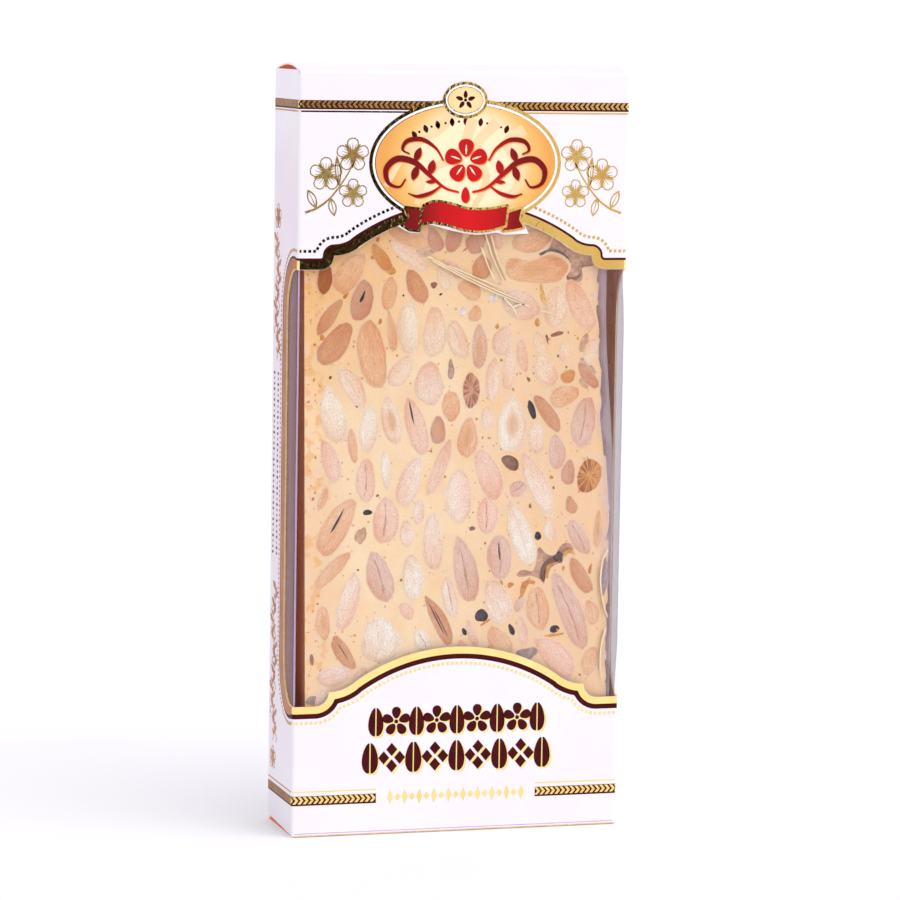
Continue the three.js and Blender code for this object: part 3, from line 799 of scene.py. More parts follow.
# %% Window bands
BAND_GOLD = (2.0, 2.6, 3.8)        # distance of the gold band's far edge: below, above, at the sides
BAND_MAROON = (3.4, 3.25, 4.35)
DOT_ROW = (4.65, 5.2, 5.8)
CUT_EDGE_BARE = 0.08
DOT_SIZE = 0.82
DOT_PITCH = 1.38
FOIL_LAYER = 0.05
INK_LAYER = 0.03


def band_reach(below, above, beside):
    """A distance from the window that changes from the front panel to the side panels."""
    def reach(point):
        front = below if point.y < (WINDOW_LOW + WINDOW_HIGH) / 2 else above
        return front + (beside - front) * ease(abs(point.x), HALF_WIDTH, HALF_WIDTH + 7)
    return reach


def make_window_bands():
    bare = set_off(WINDOW, CUT_EDGE_BARE)
    gold = set_off(WINDOW, band_reach(*BAND_GOLD))
    maroon = set_off(WINDOW, band_reach(*BAND_MAROON))
    mesh = bmesh.new()
    draw(mesh, gold, bare)
    print_piece("window_band_gold", mesh, FOIL_LAYER, GOLD_FOIL, SHADED_SIDE_FOIL)
    mesh = bmesh.new()
    draw(mesh, maroon, gold)
    print_piece("window_band_maroon", mesh, INK_LAYER, MAROON_INK)


def evenly_along(loop, pitch):
    """Points at even steps along a closed outline, with the direction at each."""
    total = sum((b - a).length for a, b in zip(loop, loop[1:] + loop[:1]))
    pitch = total / round(total / pitch)
    stops, walked, due = [], 0.0, 0.0
    for a, b in zip(loop, loop[1:] + loop[:1]):
        length = (b - a).length
        while due < walked + length - 1e-6:
            stops.append((a.lerp(b, (due - walked) / length), (b - a).normalized()))
            due += pitch
        walked += length
    return stops


def add_tile(mesh, centre, ahead, width, height, slant=0.0):
    """A rectangle or slanted bar on the sheet: one grid face, placed by a matrix."""
    turn = Matrix.Rotation(math.atan2(ahead.y, ahead.x), 4, "Z")
    shear = Matrix.Identity(4)
    shear[0][1] = slant
    matrix = Matrix.Translation((*centre, 0)) @ turn @ shear @ Matrix.Diagonal((width, height, 1, 1))
    bmesh.ops.create_grid(mesh, x_segments=1, y_segments=1, size=0.5, matrix=matrix)


def make_window_dots():
    mesh = bmesh.new()
    for centre, ahead in evenly_along(set_off(WINDOW, band_reach(*DOT_ROW)), DOT_PITCH):
        add_tile(mesh, centre, ahead, DOT_SIZE, DOT_SIZE)
    print_piece("window_dots", mesh, FOIL_LAYER, GOLD_FOIL, SHADED_SIDE_FOIL)


make_window_bands()
make_window_dots()

# %% [markdown]
# ## Two braids round the carton
#
# Each braid is a maroon ribbon with pairs of slanted gold bars that meet on its spine. One
# bar is a single sheared face, so the whole braid stays light although it has hundreds of
# them. The sheet's fold carries them round the corners to the back.

# %% Braids and thin lines
BRAID_PITCH = 1.5
BRAID_TOP = (204.1, 206.6)
BRAID_BOTTOM = (9.1, 11.8)
LINE_TOP = (203.3, 203.75)
LINE_BOTTOM = (12.8, 13.2)
BOTTOM_GAP = 23.5                  # the lower braid leaves the middle of the front free
BACK_ALONG = depth_to_along(2 * HALF_DEPTH) + HALF_WIDTH - 0.5
ALL_ROUND = [(-BACK_ALONG, BACK_ALONG)]
BESIDE_GAP = [(-BACK_ALONG, -BOTTOM_GAP), (BOTTOM_GAP, BACK_ALONG)]
SPINE_SHARE = 0.54                 # how high in the braid its spine lies
BAR_WIDTH, BAR_FILL = 0.86, 0.96   # a bar fills nearly all the height of its half
BAR_SLANT = 0.85
MARGIN_ABOVE, MARGIN_BELOW = 0.1, 0.45
ALONG = Vector((1, 0))


def add_strip(mesh, start, stop, low, high):
    """A rectangle on the sheet, given by where its edges lie."""
    add_tile(mesh, ((start + stop) / 2, (low + high) / 2), ALONG, stop - start, high - low)


def make_braid(name, low, high, stretches, points_left):
    """Maroon ground and gold bars over each stretch of the sheet."""
    ground, bars = bmesh.new(), bmesh.new()
    spine = low + SPINE_SHARE * (high - low)
    for start, stop in stretches:
        add_strip(ground, start, stop, low, high)
        for i in range(int((stop - start) / BRAID_PITCH)):
            along = start + (i + 0.5) * BRAID_PITCH
            for edge, lean in ((high - MARGIN_ABOVE, 1), (low + MARGIN_BELOW, -1)):
                slant = lean * (BAR_SLANT if points_left else -BAR_SLANT)
                middle, height = (along, (spine + edge) / 2), abs(edge - spine) * BAR_FILL
                add_tile(bars, middle, ALONG, BAR_WIDTH, height, slant)
    print_piece(name + "_ground", ground, INK_LAYER, MAROON_INK)
    print_piece(name + "_bars", bars, FOIL_LAYER, BRAID_FOIL, SHADED_SIDE_FOIL)


def make_lines():
    mesh = bmesh.new()
    for line, stretches in ((LINE_TOP, ALL_ROUND), (LINE_BOTTOM, BESIDE_GAP)):
        for start, stop in stretches:
            add_strip(mesh, start, stop, *line)
    print_piece("braid_lines", mesh, INK_LAYER, GOLD_FOIL, SHADED_SIDE_FOIL)


make_braid("braid_top", *BRAID_TOP, ALL_ROUND, points_left=True)
make_braid("braid_bottom", *BRAID_BOTTOM, BESIDE_GAP, points_left=False)
make_lines()

# %% [markdown]
# ## Cartouche, medallion and ribbon
#
# The cartouche is a stack of ovals, each a little smaller and a little higher than the last:
# gold rim, white ring, hairline of gold, apricot field. The ribbon hangs over its lower end.
# Its gold border is the ribbon's own outline, set off by the border's width.

# %% Cartouche and medallion
CARTOUCHE = (0, 189.5)
CARTOUCHE_RADII = (27.9, 18.0)
MEDALLION = (-0.4, 207.0)
MEDALLION_RADII = (6.5, 5.1)
STEP_UP = 0.03                     # each oval of a stack lies this much higher
LEVELS = {                         # how far the print on the cartouche stands out of the board
    "cartouche": 0.08, "swirls": 0.19, "arch": 0.19, "glow": 0.21, "medallion": 0.24,
    "tails_border": 0.30, "sprig": 0.31, "tails": 0.32, "ribbon_border": 0.35, "flower": 0.36,
    "ribbon": 0.38, "gleam": 0.41,
}


def oval_stack(name, centre, radii, rings, base):
    """Ovals that get smaller and higher. rings are (inset, layer's own name, material)."""
    for i, (inset, part, material) in enumerate(rings):
        mesh = bmesh.new()
        draw(mesh, oval(centre, (radii[0] - inset, radii[1] - inset)))
        print_piece(f"{name}_{part}", mesh, base + STEP_UP * i, material)


oval_stack("cartouche", CARTOUCHE, CARTOUCHE_RADII, [
    (0.0, "rim", GOLD_FOIL), (1.0, "ring", WHITE_INK), (1.65, "hairline", GOLD_FOIL),
    (1.85, "field", CARTOUCHE_INK)], LEVELS["cartouche"])

# %% [markdown]
# The field carries an almond blossom between two curling stems. A pen stroke is a path with a
# width that swells towards its middle, as a broad nib makes it. One half is drawn by a loop
# over both signs, so the design is symmetric. Where strokes cross, each lies a few
# thousandths of a millimetre above the one before, because two faces in one plane flicker.

# %% Almond blossom in the cartouche
SWIRLS = [
    [(-23, 183), (-17, 193), (-9, 198), (-4, 203)], [(-14, 178), (-11, 187), (-2, 192), (2, 202)],
    [(2, 176), (6, 185), (3, 194), (9, 201)], [(12, 178), (16, 187), (12, 195), (17, 199)],
]
STEM = [(2.0, 181.4), (6.0, 182.6), (10.4, 186.0), (14.8, 189.6), (19.8, 190.6), (23.0, 187.8),
        (22.4, 184.0), (19.2, 182.8), (17.4, 185.0)]
UPPER_CURL = [(6.6, 190.2), (8.8, 193.6), (12.8, 196.0), (17.0, 195.6), (18.4, 193.2), (16.4, 192.0)]
LOWER_CURL = [(7.0, 183.2), (10.0, 181.2), (13.8, 180.2), (16.6, 181.0)]
STROKES = [(STEM, 0.5, 0.4, 1.3), (UPPER_CURL, 0.45, 0.35, 0.9), (LOWER_CURL, 0.5, 0.3, 0.7)]
LEAVES = [((10.4, 186.2), (9.4, 190.4), 2.2), ((14.8, 189.8), (13.2, 193.8), 2.0),
          ((14.0, 188.8), (15.4, 184.6), 2.1), ((8.4, 184.4), (11.6, 184.2), 1.1)]
BLOSSOM_MIDDLE = Vector((0, 190))
NUDGE = Vector((0.28, -0.28))      # the pale edge peeps out below and to the right
LIFT = 0.004


def mirrored(points, side):
    """The points as they are for side 1, and mirrored left to right for side -1."""
    return [Vector((side * x, y)) for x, y in points]


def sprig_shapes():
    """Every outline of the blossom and its stems."""
    shapes = [egg((0, 180.6), 4.4, 2.3, 0)]
    for side in (-1, 1):
        shapes += [stroke(curve_through(mirrored(path, side), 8), *widths) for path, *widths in STROKES]
        shapes += [leaf(*mirrored((foot, tip), side), width) for foot, tip, width in LEAVES]
    for away, lean in five_ways():
        shapes.append(egg(BLOSSOM_MIDDLE + away * 3.8, 4.9, 4.2, lean, fullness=-0.3))
    return shapes


def make_cartouche_sprig():
    mesh = bmesh.new()
    for i, path in enumerate(SWIRLS):
        draw(mesh, stroke(curve_through(path, 10), 1.6, 3.2), rise=LIFT * i)
    print_piece("cartouche_swirls", mesh, LEVELS["swirls"], TAN_INK)
    ink, glow, gleam = bmesh.new(), bmesh.new(), bmesh.new()
    for i, shape in enumerate(sprig_shapes()):
        draw(ink, shape, rise=LIFT * i)
        draw(glow, [point + NUDGE for point in shape], rise=LIFT * i)
    for away, _ in five_ways():
        draw(gleam, stroke([BLOSSOM_MIDDLE + away * r for r in (1.9, 3.2, 4.6)], 0.2, 0.15, 0.35))
    draw(gleam, oval(BLOSSOM_MIDDLE, (0.9, 0.9), 0.3))
    print_piece("cartouche_sprig_glow", glow, LEVELS["glow"], APRICOT_INK)
    print_piece("cartouche_sprig", ink, LEVELS["sprig"], RIBBON_INK)
    print_piece("cartouche_gleam", gleam, LEVELS["gleam"], CARTOUCHE_INK)


APRICOT_INK = plain_finish(
    "apricot_ink", patchy((246, 150, 52), (236, 132, 40), 200), 0.4, specular=0.2)
make_cartouche_sprig()

ARCH_RADII = (20.2, 11.6)
ARCH_MARKS = 17


def make_cartouche_arch():
    """A row of small dark lozenges and dots along the top of the field."""
    mesh = bmesh.new()
    path = arc(CARTOUCHE, ARCH_RADII, 138, 42)
    for i in range(ARCH_MARKS):
        point = path[round(i * (len(path) - 1) / (ARCH_MARKS - 1))]
        if i % 2:
            draw(mesh, oval(point, (0.35, 0.35), 0.2))
        else:
            up = Vector((-(point.x - CARTOUCHE[0]) / ARCH_RADII[0] ** 2,
                         -(point.y - CARTOUCHE[1]) / ARCH_RADII[1] ** 2)).normalized()
            draw(mesh, leaf(point - up * 1.25, point + up * 1.25, 1.4))
    print_piece("cartouche_arch", mesh, LEVELS["arch"], MAROON_INK)


make_cartouche_arch()
oval_stack("medallion", MEDALLION, MEDALLION_RADII, [
    (0.0, "rim", GOLD_FOIL), (0.8, "ring", WHITE_INK), (1.3, "hairline", GOLD_FOIL),
    (1.5, "field", MEDALLION_INK)], LEVELS["medallion"])


def make_medallion_flower():
    """Five almonds round a middle dot."""
    mesh = bmesh.new()
    for away, lean in five_ways():
        draw(mesh, egg(Vector(MEDALLION) + away * Vector((1.85, 1.6)), 2.1, 1.15, lean))
    draw(mesh, oval(MEDALLION, (0.5, 0.45), 0.2))
    print_piece("medallion_flower", mesh, LEVELS["flower"], MAROON_INK)


make_medallion_flower()

# %% Ribbon
RIBBON_TOP = [(-11.9, 177.5), (-8.8, 178.6), (-4.4, 178), (1.4, 176.5), (7.3, 176.6), (12.3, 177.4)]
RIBBON_FOOT = [(-12.9, 172.6), (-9.2, 173.2), (-5.6, 172.6), (0, 171), (5.8, 170.7), (11.7, 172.1)]
RIBBON_TAILS = [
    [(-17.2, 176.9), (-16, 174.3), (-18.1, 172.3), (-16, 171.1), (-13.5, 170.8), (-12, 176.3)],
    [(12, 176), (11.2, 170.7), (14.1, 171), (17, 171.6), (15.8, 173.8), (16.4, 176.8), (13, 175.7)],
]
RIBBON_BORDER = 0.65


def make_ribbon():
    body = curve_through(RIBBON_FOOT, 6) + curve_through(RIBBON_TOP, 6)[::-1]
    tails = [[Vector(p) for p in tail] for tail in RIBBON_TAILS]
    for name, outlines in (("tails", tails), ("ribbon", [body])):
        border, red = bmesh.new(), bmesh.new()
        for outline in outlines:
            draw(border, set_off(outline, RIBBON_BORDER))
            draw(red, outline)
        piece = "ribbon" if name == "ribbon" else "ribbon_tails"
        print_piece(piece + "_border", border, LEVELS[name + "_border"], GOLD_FOIL)
        print_piece(piece, red, LEVELS[name], RIBBON_INK)


make_ribbon()

# %% [markdown]
# ## Ornaments in maroon and gold
#
# Below the window stand two rows of almonds and lozenges in maroon, each with a gold shadow
# a little below and to the right, and a fine gold row under them. Flowering twigs in gold
# line flank the cartouche, and a leafy vine climbs each side panel.

# %% Ornament rows
SHADOW = Vector((0.55, -0.5))


def almond_ornament(centre, height):
    """An almond with a slit down its middle, drawn as two halves."""
    halves = []
    for side in (-1, 1):
        outline = egg((0, 0), height, height * 0.52, 0, sides=24)
        half = sorted((p for p in outline if p.x * side > 0.12), key=lambda p: p.y)
        spine = [Vector((side * 0.17, p)) for p in (height * 0.47, -height * 0.47)]
        halves.append([Vector(centre) + p for p in half + spine])
    return halves


def lozenge(centre, width, height):
    middle = Vector(centre)
    return [middle + Vector(p) for p in ((width / 2, 0), (0, height / 2), (-width / 2, 0), (0, -height / 2))]


def open_blossom(centre, height):
    """Five almond petals round a dot."""
    petals = [egg(Vector(centre) + away * height * 0.3, height * 0.4, height * 0.3, lean, fullness=-0.25)
              for away, lean in five_ways()]
    return [oval(centre, (height * 0.07,) * 2, 0.3), *petals]


def lozenge_cross(centre, height):
    arm = height * 0.26
    return [lozenge((centre[0] + dx * arm, centre[1] + dy * arm), height * 0.36, height * 0.42)
            for dx, dy in ((1, 0), (-1, 0), (0, 1), (0, -1))]


def make_ornament_row(name, middle, height, count, pitch, between):
    ink, shadow = bmesh.new(), bmesh.new()
    for i in range(count):
        centre = ((i - (count - 1) / 2) * pitch, middle)
        for shape in between(centre, height) if i % 2 else almond_ornament(centre, height):
            draw(ink, shape)
            draw(shadow, [p + SHADOW for p in shape])
    print_piece(name + "_shadow", shadow, FOIL_LAYER, GOLD_FOIL)
    print_piece(name, ink, FOIL_LAYER + 0.02, MAROON_INK)


def make_small_row():
    """Gold lozenges of two heights in one line."""
    mesh = bmesh.new()
    for i in range(19):
        draw(mesh, lozenge(((i - 9) * 2.15, 10.6), 1.75, 2.2 if i % 2 else 4.2))
    print_piece("ornament_row_small", mesh, FOIL_LAYER, GOLD_FOIL)


make_ornament_row("ornament_row_upper", 32.2, 8.4, 9, 5.95, open_blossom)
make_ornament_row("ornament_row_lower", 21.9, 9.0, 9, 6.35, lozenge_cross)
make_small_row()

# %% Twigs and vines
TWIG = [(-46.0, 175.6), (-42.4, 177.0), (-38.6, 180.0), (-34.8, 185.0), (-31.8, 190.2)]
BLOSSOMS = [((-40.2, 186.2), 4.7), ((-32.6, 191.6), 4.7), ((-32.4, 180.9), 4.1)]
TWIG_LEAVES = [((-42.8, 176.8), (-45.4, 182.0), 2.5), ((-38.9, 179.8), (-37.6, 174.6), 2.4),
               ((-36.4, 182.8), (-37.2, 191.4), 1.8)]
LINE_WIDTH = 0.32


def blossom(mesh, centre, radius, width=LINE_WIDTH):
    """Five open petals in outline with three pen strokes each, sepals between them and a dot."""
    centre = Vector(centre)
    for away, lean in five_ways(18):
        draw(mesh, *(egg(centre + away * radius * 0.62, radius * 0.8 - inset, radius * 0.72 - inset, lean,
                         fullness=-0.2, sides=16) for inset in (0, 2 * width)))
        for turn in (-0.32, 0, 0.32):
            ray = Matrix.Rotation(turn, 2) @ away
            path = [centre + ray * radius * r for r in (0.27, 0.45, 0.68)]
            draw(mesh, stroke(path, width, width * 0.3), rise=LIFT)
        sepal = Matrix.Rotation(math.radians(36), 2) @ away
        foot, tip = (centre + sepal * radius * r for r in (0.15, 0.8))
        draw(mesh, leaf(foot, tip, radius * 0.2), rise=3 * LIFT)
    draw(mesh, oval(centre, (radius * 0.24,) * 2, 0.2), rise=4 * LIFT)


def leaf_line(mesh, foot, tip, width):
    """A leaf in outline."""
    outer = leaf(foot, tip, width)
    middle = (Vector(foot) + Vector(tip)) / 2
    draw(mesh, outer, [middle + (p - middle) * (1 - 2.2 * LINE_WIDTH / width) for p in outer])
    vein = [Vector(foot), middle, Vector(tip).lerp(middle, 0.4)]
    draw(mesh, stroke(vein, LINE_WIDTH, LINE_WIDTH * 0.4), rise=LIFT)


def make_twigs():
    for side, name in ((1, "twig_left"), (-1, "twig_right")):
        mesh = bmesh.new()
        draw(mesh, stroke(curve_through(mirrored(TWIG, side), 8), 0.7, LINE_WIDTH), rise=3 * LIFT)
        for centre, radius in BLOSSOMS:
            blossom(mesh, mirrored([centre], side)[0], radius)
        for foot, tip, width in TWIG_LEAVES:
            leaf_line(mesh, *mirrored((foot, tip), side), width)
        print_piece(name, mesh, FOIL_LAYER, BRAID_FOIL)


VINE_DEPTH = 22.6                  # how far behind the front the vine climbs
VINES = [(24, 70), (133, 169)]
VINE_STEP = 2.4
CURL = ((0, 0), (0.8, -0.4), (1.1, -1.8), (0.7, -2.4))
VINE_BLOSSOMS = ((173.4, 3.6), (19.0, 3.4))
MARKS = (78.0, 131.0)              # the stretch between the vines has two lines of small marks
MARK_DEPTHS = (20.7, 25.0)
MARK_PITCH = 1.55


def make_vine(side, name):
    """A wavy stem with leaves and curls on both sides, and a blossom at each far end."""
    mesh = bmesh.new()
    line = depth_to_along(VINE_DEPTH) * side
    for low, high in VINES:
        count = round((high - low) / VINE_STEP)
        stem = [Vector((line + 1.5 * math.sin(i * 0.8), low + (high - low) * i / count))
                for i in range(count + 1)]
        draw(mesh, stroke(curve_through(stem, 4), 0.4, 0.35))
        for i, node in enumerate(stem[1:-1], 1):
            reach = 3.0 if i % 2 else -3.0
            draw(mesh, leaf(node, node + Vector((reach, 2.2)), 1.5), rise=LIFT)
            foot, tip = node - Vector((0, 0.8)), node + Vector((-reach * 0.6, 1.0))
            draw(mesh, leaf(foot, tip, 0.9), rise=2 * LIFT)
            if i % 3 == 1:
                curl = [node + Vector((reach * out, up)) for out, up in CURL]
                draw(mesh, stroke(curve_through(curl, 4), 0.35, 0.2), rise=3 * LIFT)
    for height, radius in VINE_BLOSSOMS:
        blossom(mesh, (line, height), radius, 0.3)
    # the side panels' darker foil paints in their shade
    print_piece(name, mesh, FOIL_LAYER, SHADED_SIDE_FOIL)


def make_marks(side, name):
    """Two upright lines of small lozenges, no two the same width."""
    mesh = bmesh.new()
    for column, depth in enumerate(MARK_DEPTHS):
        for i in range(round((MARKS[1] - MARKS[0]) / MARK_PITCH)):
            width = 1.5 + 0.7 * math.sin(i * 2.3 + column)
            draw(mesh, lozenge((depth_to_along(depth) * side, MARKS[0] + i * MARK_PITCH), width, 1.0))
    print_piece(name, mesh, INK_LAYER, MAROON_INK)


make_twigs()
for side, name in ((-1, "left"), (1, "right")):
    make_vine(side, "vine_" + name)
    make_marks(side, "marks_" + name)

# %% [markdown]
# A last detail of the printed carton: where the base turns under, a thin mauve line paints the
# shade along the crease.

# %% Crease line
CREASE_LINE = (0.95, 1.2)
crease = bmesh.new()
add_strip(crease, 1 - HALF_WIDTH, HALF_WIDTH - 1, *CREASE_LINE)
print_piece("crease_line", crease, 0.01, MAUVE_CREASE_SHADE)

# %% [markdown]
# ## Clear film behind the window
#
# Clear film is two things at once: nearly all light goes straight through, and the rest
# mirrors the room, more and more towards a grazing view. A Transparent shader and a glossy
# Principled one are mixed by Fresnel for that. An attribute adds haze, which paints a highlight
# along the left fold and a lavender reflection on the wings, and takes some of the mirroring
# away where film is glued or clings to what is behind it.
# The sheet is a line of points pushed upwards and given its thickness, and slow waves
# in it make the long vertical glints. On the right wing the haze is strong on the inner face
# and weak on the outer one.

# %% Clear finish
def clear_finish(name, ior, haze_colour, roughness):
    """Film that mirrors by Fresnel, as bare metal would, and scatters light by its haze."""
    material, tree, where = new_material(name)
    haze = place(tree, "Attribute", attribute_name="haze").outputs["Fac"]
    fibre = use_group(tree, FIBRE, {"Vector": where, "Scale": 300.0, "Roughness": roughness})
    fresnel = place(tree, "Fresnel", {"IOR": ior}).outputs[0]
    behind = place(tree, "NewGeometry").outputs["Backfacing"]
    both = calculate(tree, "ADD", fresnel, haze, clamp=True)
    share = calculate(tree, "DIVIDE", haze, both, clamp=True)
    colour = blend_colours(tree, share, paint(255, 255, 255), haze_colour)
    solid = place(tree, "BsdfPrincipled", {
        "Base Color": colour, "Roughness": fibre.outputs["Roughness"],
        "Metallic": calculate(tree, "SUBTRACT", 1.0, share)})
    through = place(tree, "BsdfTransparent", {"Color": (1, 1, 1, 1)})
    factor = calculate(tree, "MULTIPLY", both, calculate(tree, "SUBTRACT", 1.0, behind))
    mix = place(tree, "MixShader", {0: factor, 1: through.outputs[0], 2: solid.outputs[0]})
    show(tree, mix)
    return material


# the lavender haze colour is the colour of the painted reflections and the painted highlight
CLEAR_FILM = clear_finish("clear_film", 1.4, paint(200, 177, 218), 0.1)
CLEAR_WRAP = clear_finish("clear_wrap", 1.25, paint(226, 208, 220), 0.16)
print("two clear finishes")

# %% Window film
FILM = 0.2
FILM_GAP = 0.04
FILM_FOLD_RADIUS = {-1: 2.4, 1: 0.5}
FILM_LOW, FILM_HIGH = (corner.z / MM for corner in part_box("window_film"))
FILM_REAR_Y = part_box("window_film")[1].y / MM
FILM_FRONT_Y = -HALF_DEPTH + BOARD + FILM_GAP
FILM_SIDE_X = HALF_WIDTH - BOARD - FILM_GAP
WING_STEPS, FRONT_STEPS, FILM_ROWS = 12, 46, 26
FRONT_HAZE = 0.005
RIGHT_OPENING = 6.5                # the right wing shows its haze where the board is cut out
# the right wing's haze paints a lavender reflection
RIGHT_REFLECTION_HAZE = 0.45
OUTER_HAZE = 0.35                  # share of the right wing's haze that its outer face has
# the left wing's haze grows into a faint painted lavender reflection
LEFT_HAZE, LEFT_HAZE_MORE = 0.02, 0.12
GLUED = -0.15                      # below zero: film that is stuck down mirrors less
FOLD_HIGHLIGHT_ANGLE = math.radians(27)    # where round the left fold the film has its painted highlight
FOLD_HIGHLIGHT_SPREAD = math.radians(9)
FOLD_HIGHLIGHT_HAZE = 0.8
BESIDE_FOLD_HIGHLIGHT = (0.03, -0.05)      # haze of the left fold on either side of the painted highlight
BULGE = 0.45                       # the right fold of the film swells out through the window


def raise_profile(profile, low, high, rows, closed=False):
    """A sheet that stands on a line of points, cut into rows."""
    mesh = bmesh.new()
    foot = [mesh.verts.new((*point, low)) for point in profile]
    pairs = zip(foot, foot[1:] + foot[:1]) if closed else zip(foot, foot[1:])
    edges = [mesh.edges.new(pair) for pair in pairs]
    for _ in range(rows):
        grown = bmesh.ops.extrude_edge_only(mesh, edges=edges)["geom"]
        verts = set(only("BMVert", grown))
        edges = [edge for edge in only("BMEdge", grown) if set(edge.verts) <= verts]
        lift(mesh, (high - low) / rows, list(verts))
    return mesh


def give_thickness(mesh, thickness):
    """Turns an open sheet into a solid one with smooth faces."""
    bmesh.ops.solidify(mesh, geom=mesh.faces[:], thickness=thickness)
    face_outwards(mesh)
    for face in mesh.faces:
        face.smooth = True


def film_profile():
    """The film's outer face in plan: left wing, soft fold, front, soft fold, right wing."""
    x, y = FILM_SIDE_X, FILM_FRONT_Y
    left_r, right_r = FILM_FOLD_RADIUS[-1], FILM_FOLD_RADIUS[1]
    wings = [[Vector((side * x, FILM_REAR_Y - i * (FILM_REAR_Y - y - radius) / WING_STEPS))
              for i in range(WING_STEPS)] for side, radius in FILM_FOLD_RADIUS.items()]
    left, right = wings[0], wings[1][::-1]
    front = [Vector((-x + left_r + i * (2 * x - left_r - right_r) / FRONT_STEPS, y))
             for i in range(1, FRONT_STEPS)]
    return (left + arc((-x + left_r, y + left_r), (left_r,) * 2, 180, 270, 0.2) + front
            + arc((x - right_r, y + right_r), (right_r,) * 2, -90, 0, 0.2) + right)


def film_haze(x, y):
    """Clear in front and hazy at its folds and wings: the haze paints a highlight along the left fold and a
    lavender reflection on the wings.
    """
    if y < FILM_FRONT_Y + 0.02:
        return FRONT_HAZE
    if x > 0:
        return RIGHT_REFLECTION_HAZE if y < -HALF_DEPTH + RIGHT_OPENING else GLUED
    centre = Vector((FILM_FOLD_RADIUS[-1] - FILM_SIDE_X, FILM_FOLD_RADIUS[-1] + FILM_FRONT_Y))
    if y > centre.y:
        return LEFT_HAZE + LEFT_HAZE_MORE * ease(y, centre.y, centre.y + 9)
    angle = math.atan2(centre.y - y, centre.x - x)
    if abs(angle - FOLD_HIGHLIGHT_ANGLE) < FOLD_HIGHLIGHT_SPREAD:
        return FOLD_HIGHLIGHT_HAZE
    return BESIDE_FOLD_HIGHLIGHT[angle > FOLD_HIGHLIGHT_ANGLE]


def make_window_film():
    mesh = raise_profile(film_profile(), FILM_LOW, FILM_HIGH, FILM_ROWS)
    haze = mesh.verts.layers.float.new("haze")
    for vert in mesh.verts:
        x, y, z = vert.co
        vert[haze] = film_haze(x, y)
        edge = share_of(abs(x), 40, 47)
        # slow waves all over, and quicker ones towards the sides
        slow, quick = math.sin(x * 0.31 + z * 0.02), math.sin(y * 2.1 + z * 0.05)
        inward = 0.06 + 0.05 * slow + 0.08 * edge * quick
        if y < FILM_FRONT_Y + 0.9:
            vert.co.y += inward
        else:
            vert.co.x -= math.copysign(inward * 0.5, x)
        # the bulge fades out towards both ends of the window, and away from the right fold
        swell = ease(z, WINDOW_LOW + 4, WINDOW_LOW + 14) * (1 - ease(z, WINDOW_HIGH - 14, WINDOW_HIGH - 4))
        swell *= BULGE * ease(x, HALF_WIDTH - 3, HALF_WIDTH - 1.2) * (1 - ease(y + HALF_DEPTH, 3.5, 6.5))
        vert.co += Vector((swell, -swell * (1 - ease(y + HALF_DEPTH, 0.5, 3)), 0))
    face_outwards(mesh)
    if sum(face.normal.y for face in mesh.faces) > 0:
        bmesh.ops.reverse_faces(mesh, faces=mesh.faces[:])
    outer = mesh.verts[:]
    give_thickness(mesh, FILM)
    for vert in outer:
        if vert.co.x > 0 and vert[haze] > RIGHT_REFLECTION_HAZE / 2:
            vert[haze] *= OUTER_HAZE
    film = finish_piece("window_film_sheet", mesh, "clear_film", CLEAR_FILM)
    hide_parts("window_film")


make_window_film()

# %% [markdown]
# ## The bar's own wrap
#
# Inside, the bar has a second, tighter film. It lies flat on the cut face and runs loose past
# the broken right edge, where it creases. It is the same kind of sheet, raised from a closed
# plan, with more waves and more haze where nothing backs it.

# %% Bar and wrap sizes
BAR_LOW, BAR_HIGH = 3.0, 203.0
BAR_FRONT_Y = -11.6
BAR_THICKNESS = 22.0
BAR_LEFT_X, BAR_LEAN = -43.5, 0.0131
BAR_RIGHT_X, TAPER_FROM, TAPER = 45.2, 60.0, 0.046
RAGGED_WAVES = [(0.35, 3.3, 1), (0.25, 1.7, 0)]
NOTCH_DEPTH, NOTCH_LENGTH = 0.9, 5.4
ALMOND_PROUD = 0.2
WRAP, WRAP_GAP = 0.25, 0.3
WRAP_RIGHT_X, WRAP_DRAWN_IN = 45.3, 3.2
WRAP_FRONT_STEPS, WRAP_BACK_STEPS, WRAP_SIDE_STEPS, WRAP_ROWS = 60, 12, 10, 60
DRAWN_IN_FROM, DRAWN_IN_TO = 95.0, 150.0


def bar_left(z):
    return BAR_LEFT_X - BAR_LEAN * z


def bar_right(z):
    """The right edge is broken rather than cut, so it wanders and draws in upwards."""
    wander = sum(size * math.sin(z / length + start) for size, length, start in RAGGED_WAVES)
    notch = NOTCH_DEPTH * max(math.sin(z / NOTCH_LENGTH - 1.1), 0) ** 4
    return BAR_RIGHT_X - TAPER * max(z - TAPER_FROM, 0) + wander - notch


def wrap_right(z):
    """The wrap's loose edge: straight below, and drawn in towards the bar above."""
    edge = WRAP_RIGHT_X - WRAP_DRAWN_IN * ease(z, DRAWN_IN_FROM, DRAWN_IN_TO)
    return max(edge, bar_right(z) - 0.2) + WRAP_GAP


